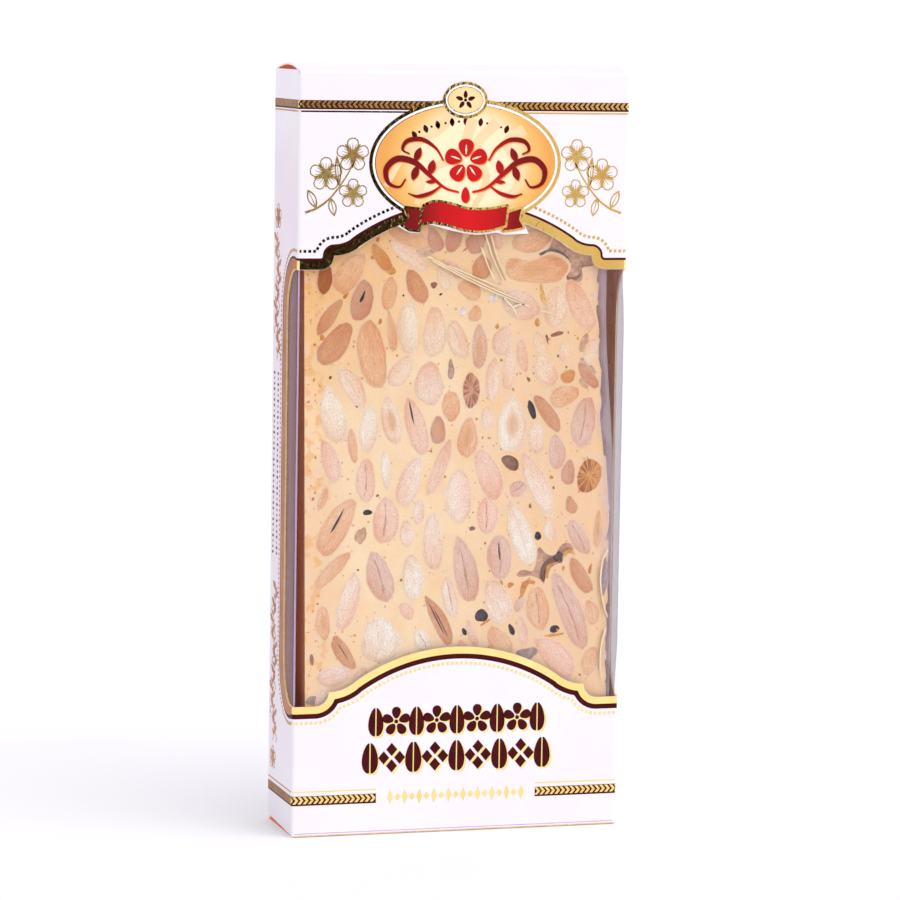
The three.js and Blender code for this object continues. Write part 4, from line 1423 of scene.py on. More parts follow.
def make_bar_wrap():
    front = BAR_FRONT_Y - ALMOND_PROUD - WRAP_GAP
    back = BAR_FRONT_Y + BAR_THICKNESS + WRAP_GAP
    across = [Vector((i / WRAP_FRONT_STEPS, front)) for i in range(1, WRAP_FRONT_STEPS)]
    far = [Vector((1 - i / WRAP_BACK_STEPS, back)) for i in range(1, WRAP_BACK_STEPS)]
    step = (back - front) / WRAP_SIDE_STEPS
    sides = [Vector((1, front + step * i)) for i in range(WRAP_SIDE_STEPS + 1)]
    closing = [Vector((0, back - step * i)) for i in range(WRAP_SIDE_STEPS + 1)]
    mesh = raise_profile(across + sides + far + closing, BAR_LOW, BAR_HIGH, WRAP_ROWS, closed=True)
    haze = mesh.verts.layers.float.new("haze")
    for vert in mesh.verts:
        share, y, z = vert.co
        left, right = bar_left(z) - WRAP_GAP, wrap_right(z)
        x = left + (right - left) * share
        loose = share_of(x, bar_right(z) - 1.5, bar_right(z) + 1)
        wave = math.sin(x * 2.6 + 0.8 * math.sin(z * 0.17)) * math.sin(z * 0.11 + 1.3)
        top = share_of(z, 160, 172)
        on_front = y < BAR_FRONT_Y
        vert.co.x = x
        vert.co.y = y + (0.10 * wave * loose if on_front else 0)
        vert[haze] = GLUED if share == 0 else 0.008 + (0.42 * loose + 0.05 * top if on_front else 0.02)
    face_outwards(mesh)
    give_thickness(mesh, -WRAP)
    wrap = finish_piece("bar_wrap_sheet", mesh, "clear_wrap", CLEAR_WRAP)
    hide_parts("bar_wrap")


make_bar_wrap()

# %% [markdown]
# ## The nougat
#
# Nougat is a pale, faintly see-through mass of honey, sugar and egg white. Its sawn face is
# smooth, with warm and cool patches, pinholes and crumbs of toasted skin. The slab is one
# outline with holes for its open bubbles. The outline is pushed back to the bar's thickness,
# and the holes are pushed in and closed. Subsurface light keeps it from looking like plaster.

# %% Nougat finishes
def nougat_colour(tree, where):
    """Cream, with a painted sheen that makes it paler to the left, apricot in the upper left corner, painted
    shade along the left edge, and patches and specks.
    """
    parts = place(tree, "SeparateXYZ", {0: where})
    # the slope is 0 below a slanting line and 1 well above it, in the upper left corner
    slope = calculate(tree, "MULTIPLY_ADD", parts.outputs["X"], -20.0, -3.22)
    slope = calculate(tree, "MULTIPLY_ADD", parts.outputs["Z"], 22.0, slope, clamp=True)
    # painted sheen: the nougat is painted paler to the left, but hardly in a strip along the lower left edge
    pale = calculate(tree, "MULTIPLY_ADD", patches(tree, where, 38.0, 0.5, 0.2), 0.45, 0.55)
    pale = calculate(tree, "MULTIPLY", pale, remap(tree, parts.outputs["X"], 0.03, -0.012))
    inner = calculate(tree, "MAXIMUM", remap(tree, parts.outputs["X"], -0.043, -0.028, 0.2),
                      remap(tree, parts.outputs["Z"], 0.1, 0.115))
    pale = calculate(tree, "MULTIPLY", pale, inner)
    base = blend_colours(tree, pale, paint(246, 207, 165), paint(255, 225, 185))
    base = blend_colours(tree, slope, base, paint(247, 195, 132))
    # painted shade: orange patches that grow towards the bar's left edge
    left_edge_shade = remap(tree, parts.outputs["X"], -0.036, -0.0395, 0.0, 0.55)
    for effect, look, strength, colour in (
            (patches, (95.0, 0.56, 0.16), 0.4, (248, 198, 134)),
            (patches, (210.0, 0.62, 0.12), 0.4, (243, 210, 184)),
            (patches, (330.0, 0.58, 0.07), left_edge_shade, (238, 172, 92)),
            (specks, (620.0, 0.06, 0.28), 0.7, (214, 150, 84)),
            (specks, (1000.0, 0.04, 0.26), 0.7, (170, 112, 76)),
            (specks, (420.0, 0.05, 0.22), 0.7, (228, 150, 62))):
        mask = calculate(tree, "MULTIPLY", effect(tree, where, *look), strength)
        base = blend_colours(tree, mask, base, paint(*colour))
    return base


def make_nougat_finish():
    material, tree, where = new_material("nougat")
    pores = specks(tree, where, 850.0, 0.2, 0.28)
    grain = place(tree, "TexNoise", {"Vector": where, "Scale": 520.0, "Detail": 4.0})
    height = calculate(tree, "MULTIPLY_ADD", pores, -0.8, grain.outputs[0])
    relief = place(tree, "Bump", {"Height": height, "Strength": 0.35, "Distance": 0.0004})
    rough = calculate(tree, "MULTIPLY_ADD", grain.outputs[0], 0.2, 0.4)
    shader = place(tree, "BsdfPrincipled", {
        "Base Color": nougat_colour(tree, where), "Roughness": rough, "Normal": relief.outputs[0],
        "Specular IOR Level": 0.3,
        "Subsurface Weight": 0.25, "Subsurface Radius": (1.0, 0.6, 0.3), "Subsurface Scale": 0.0015})
    show(tree, shader)
    return material


def make_inclusion_finish(name, roughness, glow):
    """Food whose colour comes from its own attribute, with soft mottling over it."""
    material, tree, where = new_material(name)
    tone = place(tree, "Attribute", attribute_name="tone").outputs["Color"]
    mottle = patches(tree, where, 900.0, 0.5, 0.25)
    shade = blend_colours(tree, 1.0, tone, paint(220, 200, 186), mode="MULTIPLY")
    colour = blend_colours(tree, mottle, tone, shade)
    relief = place(tree, "Bump", {"Height": mottle, "Strength": 0.4, "Distance": 0.0003})
    shader = place(tree, "BsdfPrincipled", {
        "Base Color": colour, "Roughness": roughness, "Normal": relief.outputs[0], "Coat Weight": glow})
    show(tree, shader)
    return material


NOUGAT = make_nougat_finish()
CRUMB = make_inclusion_finish("crumb", 0.4, 0.2)
print("nougat finishes are ready")

# %% Open bubbles and hollows
# Bubbles: middle along and up, length, width, lean. The last four lie within the hollows below.
BUBBLES = [
    (21.3, 119.9, 5.6, 2, -20), (7.4, 61.4, 3.8, 3.7, 0), (2.4, 56.9, 2.2, 1.3, -20),
    (16.4, 57.1, 3.4, 1.6, -25), (29.3, 56.9, 3, 2.1, 70), (23.8, 83.8, 2.6, 1.9, 0),
    (-26.4, 91.5, 2.6, 1.6, 90), (15.2, 104.9, 5.6, 3.8, -60),
    (29.8, 164.4, 8, 2.4, -65), (26.2, 75.6, 9.5, 3.4, 25), (31.6, 79.4, 4.6, 2.8, 60),
    (19.8, 73.2, 4.6, 1.9, 80),
]
LONE_BUBBLES = 8
BROWN_BUBBLE = 7                   # its place in the list
LARGE_HOLLOW = [
    (17.6, 72.9), (18.6, 73.9), (20.2, 74.1), (21.8, 73.7), (22.8, 74.3), (23.4, 76.1), (23.7, 78.7),
    (23.8, 80.1), (24.6, 80.5), (25.8, 79.1), (27.6, 78.1), (29.2, 78.3), (30.0, 79.9), (31.0, 81.1),
    (32.4, 81.7), (33.8, 81.1), (34.6, 79.9), (34.0, 79.2), (32.2, 79.1), (31.6, 77.7), (31.2, 75.9),
    (29.1, 75.9), (27.0, 75.3), (26.4, 73.7), (26.2, 71.1), (25.6, 70.1), (24.8, 71.1), (23.0, 72.1),
    (21.2, 72.3), (19.2, 72.1), (18.0, 72.1),
]
HOLLOW_BY_PEANUT = [
    (22.4, 164.1), (24.2, 164.9), (25.6, 165.7), (27.2, 168.5), (29.6, 166.9), (33.6, 164.3), (38.2, 163.7),
    (39.0, 160.7), (35.6, 160.1), (35.8, 157.3), (34.8, 155.9), (32.6, 155.5), (31.2, 156.3), (31.0, 157.7),
    (32.0, 159.3), (32.0, 161.3), (30.8, 162.9), (28.3, 164.2), (25.6, 164.6), (23.2, 163.4),
]
# the open bubbles' walls and floors are painted dark: painted shade in the pits
VOID_SHADE, BROWN_PIT, GREY_PIT = (78, 38, 64), (170, 124, 92), (232, 190, 164)
BUBBLE_DEPTH = 1.3
SEED = 20117


def draw_from(seed):
    """Repeatable random numbers from 0 to 1."""
    state = seed
    while True:
        state = state * 48271 % 2147483647
        yield state / 2147483647


def rough_egg(x, z, length, width, lean, seed, rough=0.1, sides=22):
    """A bubble or a crumb: an egg with an uneven outline."""
    middle = Vector((x, z))
    points = []
    for i, point in enumerate(egg(middle, length, width, lean, 0.15, sides)):
        angle = 2 * math.pi * i / sides
        waves = (math.sin(n * angle + seed * start) / n for n, start in ((2, 1.7), (3, 2.9), (5, 0.7)))
        swell = 1 + rough * sum(waves)
        points.append(middle + (point - middle) * swell)
    return points


def rounded(points, steps=3):
    """A closed outline with its corners smoothed."""
    return curve_through([*points, points[0]], steps)[:-1]


HOLES = [(rough_egg(*bubble, i), BROWN_PIT if i == BROWN_BUBBLE else VOID_SHADE)
         for i, bubble in enumerate(BUBBLES[:LONE_BUBBLES])]
HOLES += [(rounded(LARGE_HOLLOW), GREY_PIT), (rounded(HOLLOW_BY_PEANUT), GREY_PIT)]
print(len(HOLES), "holes in the face")

# %% Slab
EDGE_FULL_X, EDGE_BOW = 45.2, 4.4  # the broken right edge: its outermost place, and how far it draws in
EDGE_FROM, EDGE_TO = 88.0, 135.0
FLAKE_DEPTH, FLAKE_LENGTHS = 0.7, (1.0, 4.5)
HOLE_LIP = 0.2                     # a hole's walls start steep and then lean in
SLAB_SIDE_SHADE = (152, 74, 32)          # painted shade: the slab's sides are browner than its cut face


def stand(mesh):
    """Turns what was drawn flat (along, up, out) to stand in the bar's cut face."""
    for vert in mesh.verts:
        vert.co = Vector((vert.co.x, BAR_FRONT_Y - vert.co.z, vert.co.y))


def add_outline(mesh, points, height=0.0):
    corners = [mesh.verts.new((*point, height)) for point in points]
    return [mesh.edges.new(pair) for pair in zip(corners, corners[1:] + corners[:1])]


def push(mesh, edges, depth, shrink=1.0):
    """Pulls walls out of some edges, and scales their far end. Returns its edges."""
    grown = bmesh.ops.extrude_edge_only(mesh, edges=edges)["geom"]
    verts = only("BMVert", grown)
    lift(mesh, depth, verts)
    centre = sum((vert.co for vert in verts), Vector()) / len(verts)
    bmesh.ops.scale(mesh, vec=(shrink, shrink, 1), verts=verts, space=Matrix.Translation(-centre))
    return [edge for edge in only("BMEdge", grown) if set(edge.verts) <= set(verts)]


def slab_outline():
    """Straight up the sawn left side, and down the broken right one, where flakes left steps."""
    draw_next = draw_from(SEED)
    right = []
    z = BAR_LOW
    while z < BAR_HIGH:
        step = -FLAKE_DEPTH * next(draw_next) ** 2
        length = FLAKE_LENGTHS[0] + FLAKE_LENGTHS[1] * next(draw_next)
        for share in (0.06, 0.35, 0.65, 0.97):
            at = z + length * share
            edge = EDGE_FULL_X - EDGE_BOW * ease(at, EDGE_FROM, EDGE_TO)
            right.append(Vector((max(edge, bar_right(at)) + step + 0.16 * (next(draw_next) - 0.5), at)))
        z += length
    left = [Vector((bar_left(z), z)) for z in (BAR_LOW, BAR_HIGH)]
    return [left[0], *[point for point in right if point.y < BAR_HIGH], left[1]]


def colour_faces(faces, tone, colour):
    """Gives faces the second material, and their corners a colour for it."""
    for face in faces:
        face.material_index = 1
        for vert in face.verts:
            vert[tone] = paint(*colour)


def make_slab():
    mesh = bmesh.new()
    tone = mesh.verts.layers.float_color.new("tone")
    rim = add_outline(mesh, slab_outline())
    holes = [add_outline(mesh, outline) for outline, _ in HOLES]
    bmesh.ops.triangle_fill(mesh, edges=rim + [edge for hole in holes for edge in hole], use_beauty=True)
    front = set(mesh.faces)
    bmesh.ops.triangle_fill(mesh, edges=push(mesh, rim, -BAR_THICKNESS), use_beauty=True)
    # the sides get the browner colour that paints their shade
    colour_faces(set(mesh.faces) - front, tone, SLAB_SIDE_SHADE)
    for hole, (_, colour) in zip(holes, HOLES):
        known = set(mesh.faces)
        bottom = push(mesh, push(mesh, hole, -HOLE_LIP, 0.97), HOLE_LIP - BUBBLE_DEPTH, 0.85)
        bmesh.ops.contextual_create(mesh, geom=bottom)
        colour_faces(set(mesh.faces) - known, tone, colour)
    face_outwards(mesh)
    bmesh.ops.bevel(mesh, geom=rim, offset=0.3, segments=2, profile=0.5, affect="EDGES", material=-1)
    stand(mesh)
    slab = finish_piece("nougat_slab", mesh, "nougat", NOUGAT, CRUMB)
    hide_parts("nougat_bar")


make_slab()

# %% [markdown]
# ## Almonds in the cut face
#
# The saw goes through whole almonds, so the face shows their sections: pale ovals with a
# thin lighter rim, fine grain along their length and, where the cut meets it, the seam
# between the two halves. Each is its own low dome let into the face. Attributes on the
# corners tell the shader about it: its tone, its own across and along directions, how strong
# its seam, grain, core and rays are, and where its rim is. One material then paints all of
# them, and no two look alike.

# %% Almond finish
def make_almond_finish():
    material, tree, where = new_material("almond")
    read = {name: place(tree, "Attribute", attribute_name=name).outputs
            for name in ("tone", "section", "marks", "rays", "rim")}
    tone, section = read["tone"]["Color"], read["section"]["Vector"]
    marks = place(tree, "SeparateXYZ", {0: read["marks"]["Vector"]}).outputs
    axes = place(tree, "SeparateXYZ", {0: section}).outputs
    flat = combine(tree, "MULTIPLY", section, (1, 1, 0))
    away = combine(tree, "LENGTH", flat)

    def darken(colour, by, factor):
        darker = blend_colours(tree, 1.0, colour, paint(*by), mode="MULTIPLY")
        return blend_colours(tree, factor, colour, darker)

    def scaled(mask, strength):
        return calculate(tree, "MULTIPLY", mask, strength)

    lean = calculate(tree, "MULTIPLY", axes["X"], calculate(tree, "SINE", axes["Z"]))
    lean = calculate(tree, "MULTIPLY_ADD", axes["Y"], calculate(tree, "COSINE", axes["Z"]), lean)
    colour = darken(tone, (251, 234, 222), remap(tree, lean, -0.4, 1.0))
    coarse = patches(tree, where, 430.0, 0.5, 0.28)
    colour = darken(colour, (251, 240, 232), coarse)
    colour = darken(colour, (222, 202, 194), scaled(patches(tree, where, 2300.0, 0.56, 0.1), 0.6))
    up = place(tree, "SeparateXYZ", {0: where}).outputs["Z"]
    colour = darken(colour, (254, 247, 235), remap(tree, up, 0.1, 0.14))

    stretch = combine(tree, "MULTIPLY", section, (9.0, 1.2, 3.0))
    grain = place(tree, "TexNoise", {"Vector": stretch, "Scale": 1.9, "Detail": 3.0}).outputs[0]
    colour = darken(colour, (241, 212, 196), scaled(remap(tree, grain, 0.46, 0.66), marks["Y"]))
    around = combine(tree, "ADD", combine(tree, "NORMALIZE", flat),
                     combine(tree, "MULTIPLY", section, (0.15, 0.15, 1.0)))
    fan = place(tree, "TexNoise", {"Vector": around, "Scale": 5.0, "Detail": 1.0}).outputs[0]
    rays = scaled(remap(tree, fan, 0.44, 0.62), read["rays"]["Fac"])
    colour = darken(colour, (186, 146, 122), scaled(rays, remap(tree, away, 0.1, 0.4)))

    core = scaled(remap(tree, away, 0.62, 0.2), marks["Z"])
    colour = blend_colours(tree, scaled(core, 0.8), colour, paint(222, 162, 106))
    colour = darken(colour, (238, 214, 194), scaled(remap(tree, away, 0.7, 0.9), 0.35))

    wander = calculate(tree, "MULTIPLY_ADD", grain, 0.5, -0.25)
    bow = calculate(tree, "MULTIPLY", axes["Y"], calculate(tree, "MULTIPLY", axes["Y"], 0.22))
    middle = calculate(tree, "ADD", axes["X"], calculate(tree, "ADD", wander, bow))
    seam = scaled(remap(tree, calculate(tree, "ABSOLUTE", middle), 0.08, 0.02), remap(tree, away, 0.82, 0.6))
    seam = scaled(seam, marks["X"])
    colour = blend_colours(tree, seam, colour, paint(180, 126, 100))
    colour = blend_colours(tree, scaled(read["rim"]["Fac"], 0.5), colour, paint(255, 240, 222))

    height = calculate(tree, "MULTIPLY_ADD", seam, -1.0, grain)
    relief = place(tree, "Bump", {"Height": height, "Strength": 0.3, "Distance": 0.0004})
    shader = place(tree, "BsdfPrincipled", {
        "Base Color": colour, "Roughness": calculate(tree, "MULTIPLY_ADD", coarse, 0.12, 0.4),
        "Normal": relief.outputs[0], "Specular IOR Level": 0.3,
        "Subsurface Weight": 0.12, "Subsurface Radius": (1.0, 0.6, 0.4), "Subsurface Scale": 0.001})
    show(tree, shader)
    return material


ALMOND = make_almond_finish()
print("the almond finish reads tone, section, marks, rays and rim")

# %% [markdown]
# The almonds lie where the CAD has them: a list of the large ones, then smaller ones drawn
# at random into the room that is left. The same seed and the same order of draws give the
# same places as in the CAD. Each large almond also has a letter for its tone, and small
# letters for a seam (s), grain lines (l), a toasted core (k) or rays (r). One of them (n) is
# a broken piece with an outline of its own.

# %% Almond places and tones
TONES = {
    "P": (255, 237, 222), "W": (255, 249, 238), "R": (252, 219, 200), "T": (247, 207, 170),
    "B": (226, 174, 134), "G": (238, 208, 194), "D": (222, 175, 149), "O": (230, 170, 98),
    "L": (252, 231, 221), "C": (180, 106, 40),
}
DARK_TONES = "BDTGOC"               # toasted ones show their grain more
LARGE_ALMONDS = [
    (-15.5, 168.7, 14, 5.3, -68, "T"), (-7.9, 168, 7.5, 4.4, -25, "D"), (-2.6, 168.4, 8, 5, 12, "D"),
    (4.2, 167.2, 7, 5.6, 35, "D"), (20.5, 167.7, 12, 6.5, 80, "T"), (-15, 163.3, 13.5, 4.1, -57, "P"),
    (5.8, 160.3, 7, 5.8, 10, "B"), (21.3, 159.5, 19, 8, 88, "Tkn"), (-39.7, 157.3, 9, 4.4, 4, "C"),
    (-32.3, 158.8, 13, 7.2, 35, "Tl"), (-21, 153, 9.8, 4.6, 8, "T"), (-13, 155, 10.5, 5.4, -28, "Bk"),
    (2.3, 153.7, 7.5, 4.8, -60, "T"), (17.5, 149.8, 12.3, 8.4, -65, "L"), (28, 149, 12, 7.1, 5, "P"),
    (35.2, 149.5, 16, 6.6, -28, "R"), (-29, 151, 11.8, 6.6, 12, "D"), (-38, 146.6, 12.3, 4.1, 35, "B"),
    (-36.5, 139, 14, 7.2, 38, "B"), (-25.6, 136.1, 19.6, 8.2, -10, "T"),
    (-20.2, 142.4, 12, 2.9, -8, "T"), (-15.3, 143.4, 14.5, 6.1, 0, "W"),
    (-7.7, 142.1, 14.3, 6.8, 2, "P"), (-0.8, 140, 11.8, 5.8, -20, "P"), (5.5, 137.8, 12.8, 4.6, 0, "Gk"),
    (12.4, 139.6, 8.5, 5.7, 15, "L"), (4.1, 147.2, 4.8, 3.8, 20, "T"),
    (18.4, 135.2, 9.8, 3.3, -10, "R"), (14.4, 131.1, 11.3, 3.7, 3, "P"), (9.7, 128.6, 12.8, 4, 3, "P"),
    (23.4, 139, 6.3, 3.9, -15, "P"), (25.3, 131.2, 10.3, 6.3, -25, "P"),
    (30.5, 136.1, 5.3, 2.8, 0, "P"), (38.7, 136.4, 8, 4.1, 12, "P"), (32, 129.3, 4.8, 3.8, 60, "O"),
    (37.9, 129.4, 9.3, 3.6, -38, "D"), (-17.3, 131.2, 10, 5.8, 35, "P"),
    (-8.9, 127.6, 12.6, 8.4, -3, "L"), (-31.3, 127, 13, 5.5, -32, "P"),
    (-36.7, 119, 16.2, 6.9, -14, "W"), (3.3, 125.6, 10.3, 5.1, 0, "Dr"), (31, 123.7, 9.2, 6.1, 70, "T"),
    (-26.3, 115.1, 13, 5.3, 5, "W"), (-19.8, 117.2, 14, 5.8, -13, "Pk"),
    (-12.7, 115.7, 17, 5.9, -17, "R"), (-6.2, 114.4, 8, 4.5, 0, "Dk"), (-2.5, 121.2, 8.8, 5.5, -3, "T"),
    (2.6, 112.2, 11.6, 6, 5, "Tk"), (8.1, 117.7, 6.7, 3.4, 0, "P"), (15.6, 115.6, 15.8, 8.7, 2, "Wk"),
    (22.9, 111.8, 9.6, 4.6, -3, "P"), (26, 118.8, 12.8, 4.3, -36, "B"),
    (36.9, 116.3, 14.6, 7.2, 8, "Gs"), (29, 107.8, 10.3, 5.1, -5, "G"), (-31, 110.3, 10, 2.8, -8, "T"),
    (-37.4, 106.2, 12.4, 4.9, -18, "R"), (-27, 100.6, 12.6, 5.7, 0, "Rs"),
    (-21.2, 103.4, 11.6, 2.6, -5, "W"), (-14.1, 100, 14.6, 6.4, 18, "P"), (-5.6, 103.9, 17, 4, 22, "R"),
    (0.2, 95.6, 15.8, 7.9, 0, "P"), (8.7, 101.9, 15.5, 6.8, -22, "R"), (17.6, 97.4, 5.4, 4.5, 60, "Gs"),
    (23.3, 98.6, 20.8, 5.8, -25, "P"), (32.6, 101.8, 7.4, 4.2, 5, "D"),
    (38.7, 100.8, 10, 7.2, 15, "Or"), (33.6, 92.5, 5.5, 3.4, -20, "B"), (-39.4, 95.6, 7, 2.6, 20, "Ts"),
    (-35.4, 87.4, 18, 7.6, 30, "T"), (-21.2, 89.3, 13.3, 7.7, 3, "Rs"),
    (-14.9, 85.3, 7.8, 4.1, -5, "P"), (-11.5, 91.4, 7.4, 3.2, 5, "P"),
    (-7.1, 82.8, 16.4, 5.8, -3, "Pl"), (8.6, 90, 10.8, 6.3, 0, "Rs"), (18.7, 84.8, 19.4, 6.3, -20, "W"),
    (27.3, 85.2, 6, 3.7, -10, "P"), (36.1, 83.2, 11.5, 5.2, -30, "Gs"), (41.7, 85.4, 11.2, 2.7, 3, "Tk"),
    (-36.3, 75.4, 13.8, 4.2, 45, "T"), (-31.7, 66.4, 17, 5.9, 15, "Pl"),
    (-22.6, 73.3, 15, 7.5, -18, "Gs"), (-13.1, 72.9, 12.8, 6.1, -3, "Wl"),
    (-1.9, 67, 12, 4.3, -12, "Ps"), (2.3, 74.6, 19.4, 7, -12, "Gs"), (12.7, 78, 12.8, 7.4, -3, "Gs"),
    (12, 65.3, 13.4, 7.4, -18, "Pl"), (24.3, 63.1, 13, 7, -8, "Ts"), (33.7, 61.8, 24, 7, -23, "Gs"),
    (36.7, 72.2, 11.8, 4.6, -30, "Bl"), (40.3, 61.4, 7.6, 4.2, -15, "T"),
    (-38.9, 60.6, 10, 4.3, -5, "Tk"), (-22.4, 55.4, 12.8, 11.2, 0, "Wl"),
    (-33, 51.9, 11.4, 4.5, -33, "Bs"), (-5.2, 60.3, 16.2, 4.5, -28, "Bs"),
    (-9.8, 54.9, 7, 4.6, -30, "Ws"), (-14.7, 63.3, 5.6, 3.6, -35, "R"), (12.9, 54, 10, 6.1, -40, "T"),
    (19.7, 56.7, 9, 2.9, -10, "R"), (4.7, 56.6, 8, 2.6, -20, "R"), (29.6, 49, 16, 7.4, -45, "R"),
    (40.1, 47.4, 8.8, 4.8, 15, "T"), (-35.6, 45.5, 10, 5.4, 78, "Ll"),
]
SMALL_ALMOND_LENGTHS = [14, 12, 10, 8, 6]
DRAWS_PER_LENGTH = 400
ALMOND_LIMIT = 180
ALMOND_GAP = 0.5
EDGE_MARGIN = 1.1


def guide(almond):
    """The CAD's outline of an almond, which starts a quarter step later."""
    x, z, length, width, lean = almond[:5]
    tilt = math.radians(lean)
    points = []
    for i in range(12):
        turn = 2 * math.pi * (i + 0.25) / 12
        along = length / 2 * math.sin(turn)
        across = width / 2 * math.cos(turn) * (1 - 0.22 * math.sin(turn))
        points.append((x + across * math.cos(tilt) + along * math.sin(tilt),
                       z - across * math.sin(tilt) + along * math.cos(tilt)))
    return points


def covers(almond, point, gap):
    x, z, length, width, lean = almond[:5]
    tilt = math.radians(lean)
    across = (point[0] - x) * math.cos(tilt) - (point[1] - z) * math.sin(tilt)
    along = (point[0] - x) * math.sin(tilt) + (point[1] - z) * math.cos(tilt)
    return (along / (length / 2 + gap)) ** 2 + (across / (width / 2 + gap)) ** 2 < 1


def crowds(one, other):
    if math.hypot(one[0] - other[0], one[1] - other[1]) > (one[2] + other[2]) / 2 + ALMOND_GAP:
        return False
    return any(covers(b, point, ALMOND_GAP)
               for a, b in ((one, other), (other, one)) for point in [a[:2], *guide(a)])


def small_almonds():
    """Smaller almonds in the room between the large ones and the bubbles."""
    draw_next = draw_from(SEED)
    placed = []
    for size in SMALL_ALMOND_LENGTHS:
        for _ in range(DRAWS_PER_LENGTH):
            if len(placed) + len(LARGE_ALMONDS) >= ALMOND_LIMIT:
                return placed
            length = size * (0.9 + 0.25 * next(draw_next))
            width = length * (0.42 + 0.2 * next(draw_next))
            lean = -12 + 70 * (next(draw_next) - 0.5)
            z = BAR_LOW + (BAR_HIGH - BAR_LOW) * next(draw_next)
            x = bar_left(z) + (bar_right(z) - bar_left(z)) * next(draw_next)
            almond = (x, z, length, width, lean, "PRTGRPRTGO"[len(placed) % 10])
            inside = all(BAR_LOW + EDGE_MARGIN < v < BAR_HIGH - EDGE_MARGIN
                         and bar_left(v) + 2 * EDGE_MARGIN < u < bar_right(v) - EDGE_MARGIN
                         for u, v in guide(almond))
            if inside and not any(crowds(almond, other) for other in LARGE_ALMONDS + placed + BUBBLES):
                placed.append(almond)
    return placed


ALMONDS = LARGE_ALMONDS + small_almonds()
print(len(LARGE_ALMONDS), "large almonds and", len(ALMONDS) - len(LARGE_ALMONDS), "small ones")

# %% Almond sections
ALMOND_RIM = 0.3
NUT_SIDES = 40
UNEVEN = ((3, 0.025), (5, 0.02), (9, 0.014), (14, 0.01))  # waves round an outline: how many, how high
BROKEN = [
    (12.8, 160.2), (13.0, 161.9), (14.6, 162.9), (17.1, 162.7), (19.6, 162.1), (22.0, 162.6), (24.6, 163.6),
    (27.0, 163.8), (29.8, 162.5), (31.4, 160.9), (31.4, 159.5), (30.6, 158.1), (29.1, 156.3), (26.1, 155.7),
    (22.6, 155.6), (18.6, 156.0), (15.6, 156.5), (13.6, 157.7),
]


def nut_outline(x, z, length, width, lean, seed):
    """A section: fuller at one end, and more or less pointed, bent and uneven by its seed."""
    fullness = 0.12 + 0.1 * math.sin(seed * 2.3)
    point = 1.02 + 0.14 * math.sin(seed * 1.9 + 1)
    bend = 0.09 * math.sin(seed * 3.1 + 2)
    turn = Matrix.Rotation(-math.radians(lean), 2)
    outline = []
    for i in range(NUT_SIDES):
        angle = 2 * math.pi * (i + 0.5) / NUT_SIDES
        up, across = math.sin(angle), math.cos(angle)
        across = math.copysign(abs(across) ** point, across) * (1 - fullness * up) + bend * (1 - 2 * up * up)
        uneven = 1 + sum(math.sin(n * angle + seed * n) * size for n, size in UNEVEN)
        outline.append(Vector((x, z)) + turn @ Vector((across * width / 2, up * length / 2)) * uneven)
    return outline


def add_patch(mesh, outline, low, high, soften, crown):
    """A low prism whose top is inset and raised a little. Returns all its corners, and its top's."""
    known = set(mesh.verts)
    face = bmesh.ops.contextual_create(mesh, geom=add_outline(mesh, outline, low))["faces"]
    top = only("BMFace", bmesh.ops.extrude_face_region(mesh, geom=face)["geom"])
    lift(mesh, high - low, list({v for f in top for v in f.verts}))
    bmesh.ops.inset_individual(mesh, faces=top, thickness=soften, depth=0, use_even_offset=True)
    inner = list({v for f in top for v in f.verts})
    lift(mesh, crown, inner)
    return set(mesh.verts) - known, inner


def put_in_face(name, mesh, slot, material):
    """Ends what was drawn flat: normals outward, stood in the bar's face, and made a piece."""
    face_outwards(mesh)
    stand(mesh)
    finish_piece(name, mesh, slot, material)


def make_almonds():
    mesh = bmesh.new()
    layers = mesh.verts.layers
    tone, rays, rim = layers.float_color.new("tone"), layers.float.new("rays"), layers.float.new("rim")
    section, marks = layers.float_vector.new("section"), layers.float_vector.new("marks")
    for i, (x, z, length, width, lean, code) in enumerate(ALMONDS):
        outline = rounded(BROKEN, 2) if "n" in code else nut_outline(x, z, length, width, lean, i)
        corners, top = add_patch(mesh, outline, -0.3, ALMOND_PROUD * 0.4, ALMOND_RIM, ALMOND_PROUD * 0.4)
        tilt = math.radians(lean)
        grain = 0.12 + 0.08 * (i % 4) + (0.35 if code[0] in DARK_TONES else 0)
        strength = (0.75 if "s" in code else 0.12 * (i % 3), 0.5 if "l" in code else grain,
                    0.8 if "k" in code else 0.0)
        for vert in corners:
            dx, dz = vert.co.x - x, vert.co.y - z
            vert[section] = ((dx * math.cos(tilt) - dz * math.sin(tilt)) / (width / 2),
                             (dx * math.sin(tilt) + dz * math.cos(tilt)) / (length / 2), i * 1.7)
            vert[marks] = strength
            vert[rays] = 0.9 if "r" in code else 0.0
            vert[rim] = 1.0
            vert[tone] = paint(*TONES[code[0]])
        for vert in top:
            vert[rim] = 0.0
    put_in_face("almonds", mesh, "nougat", ALMOND)


make_almonds()
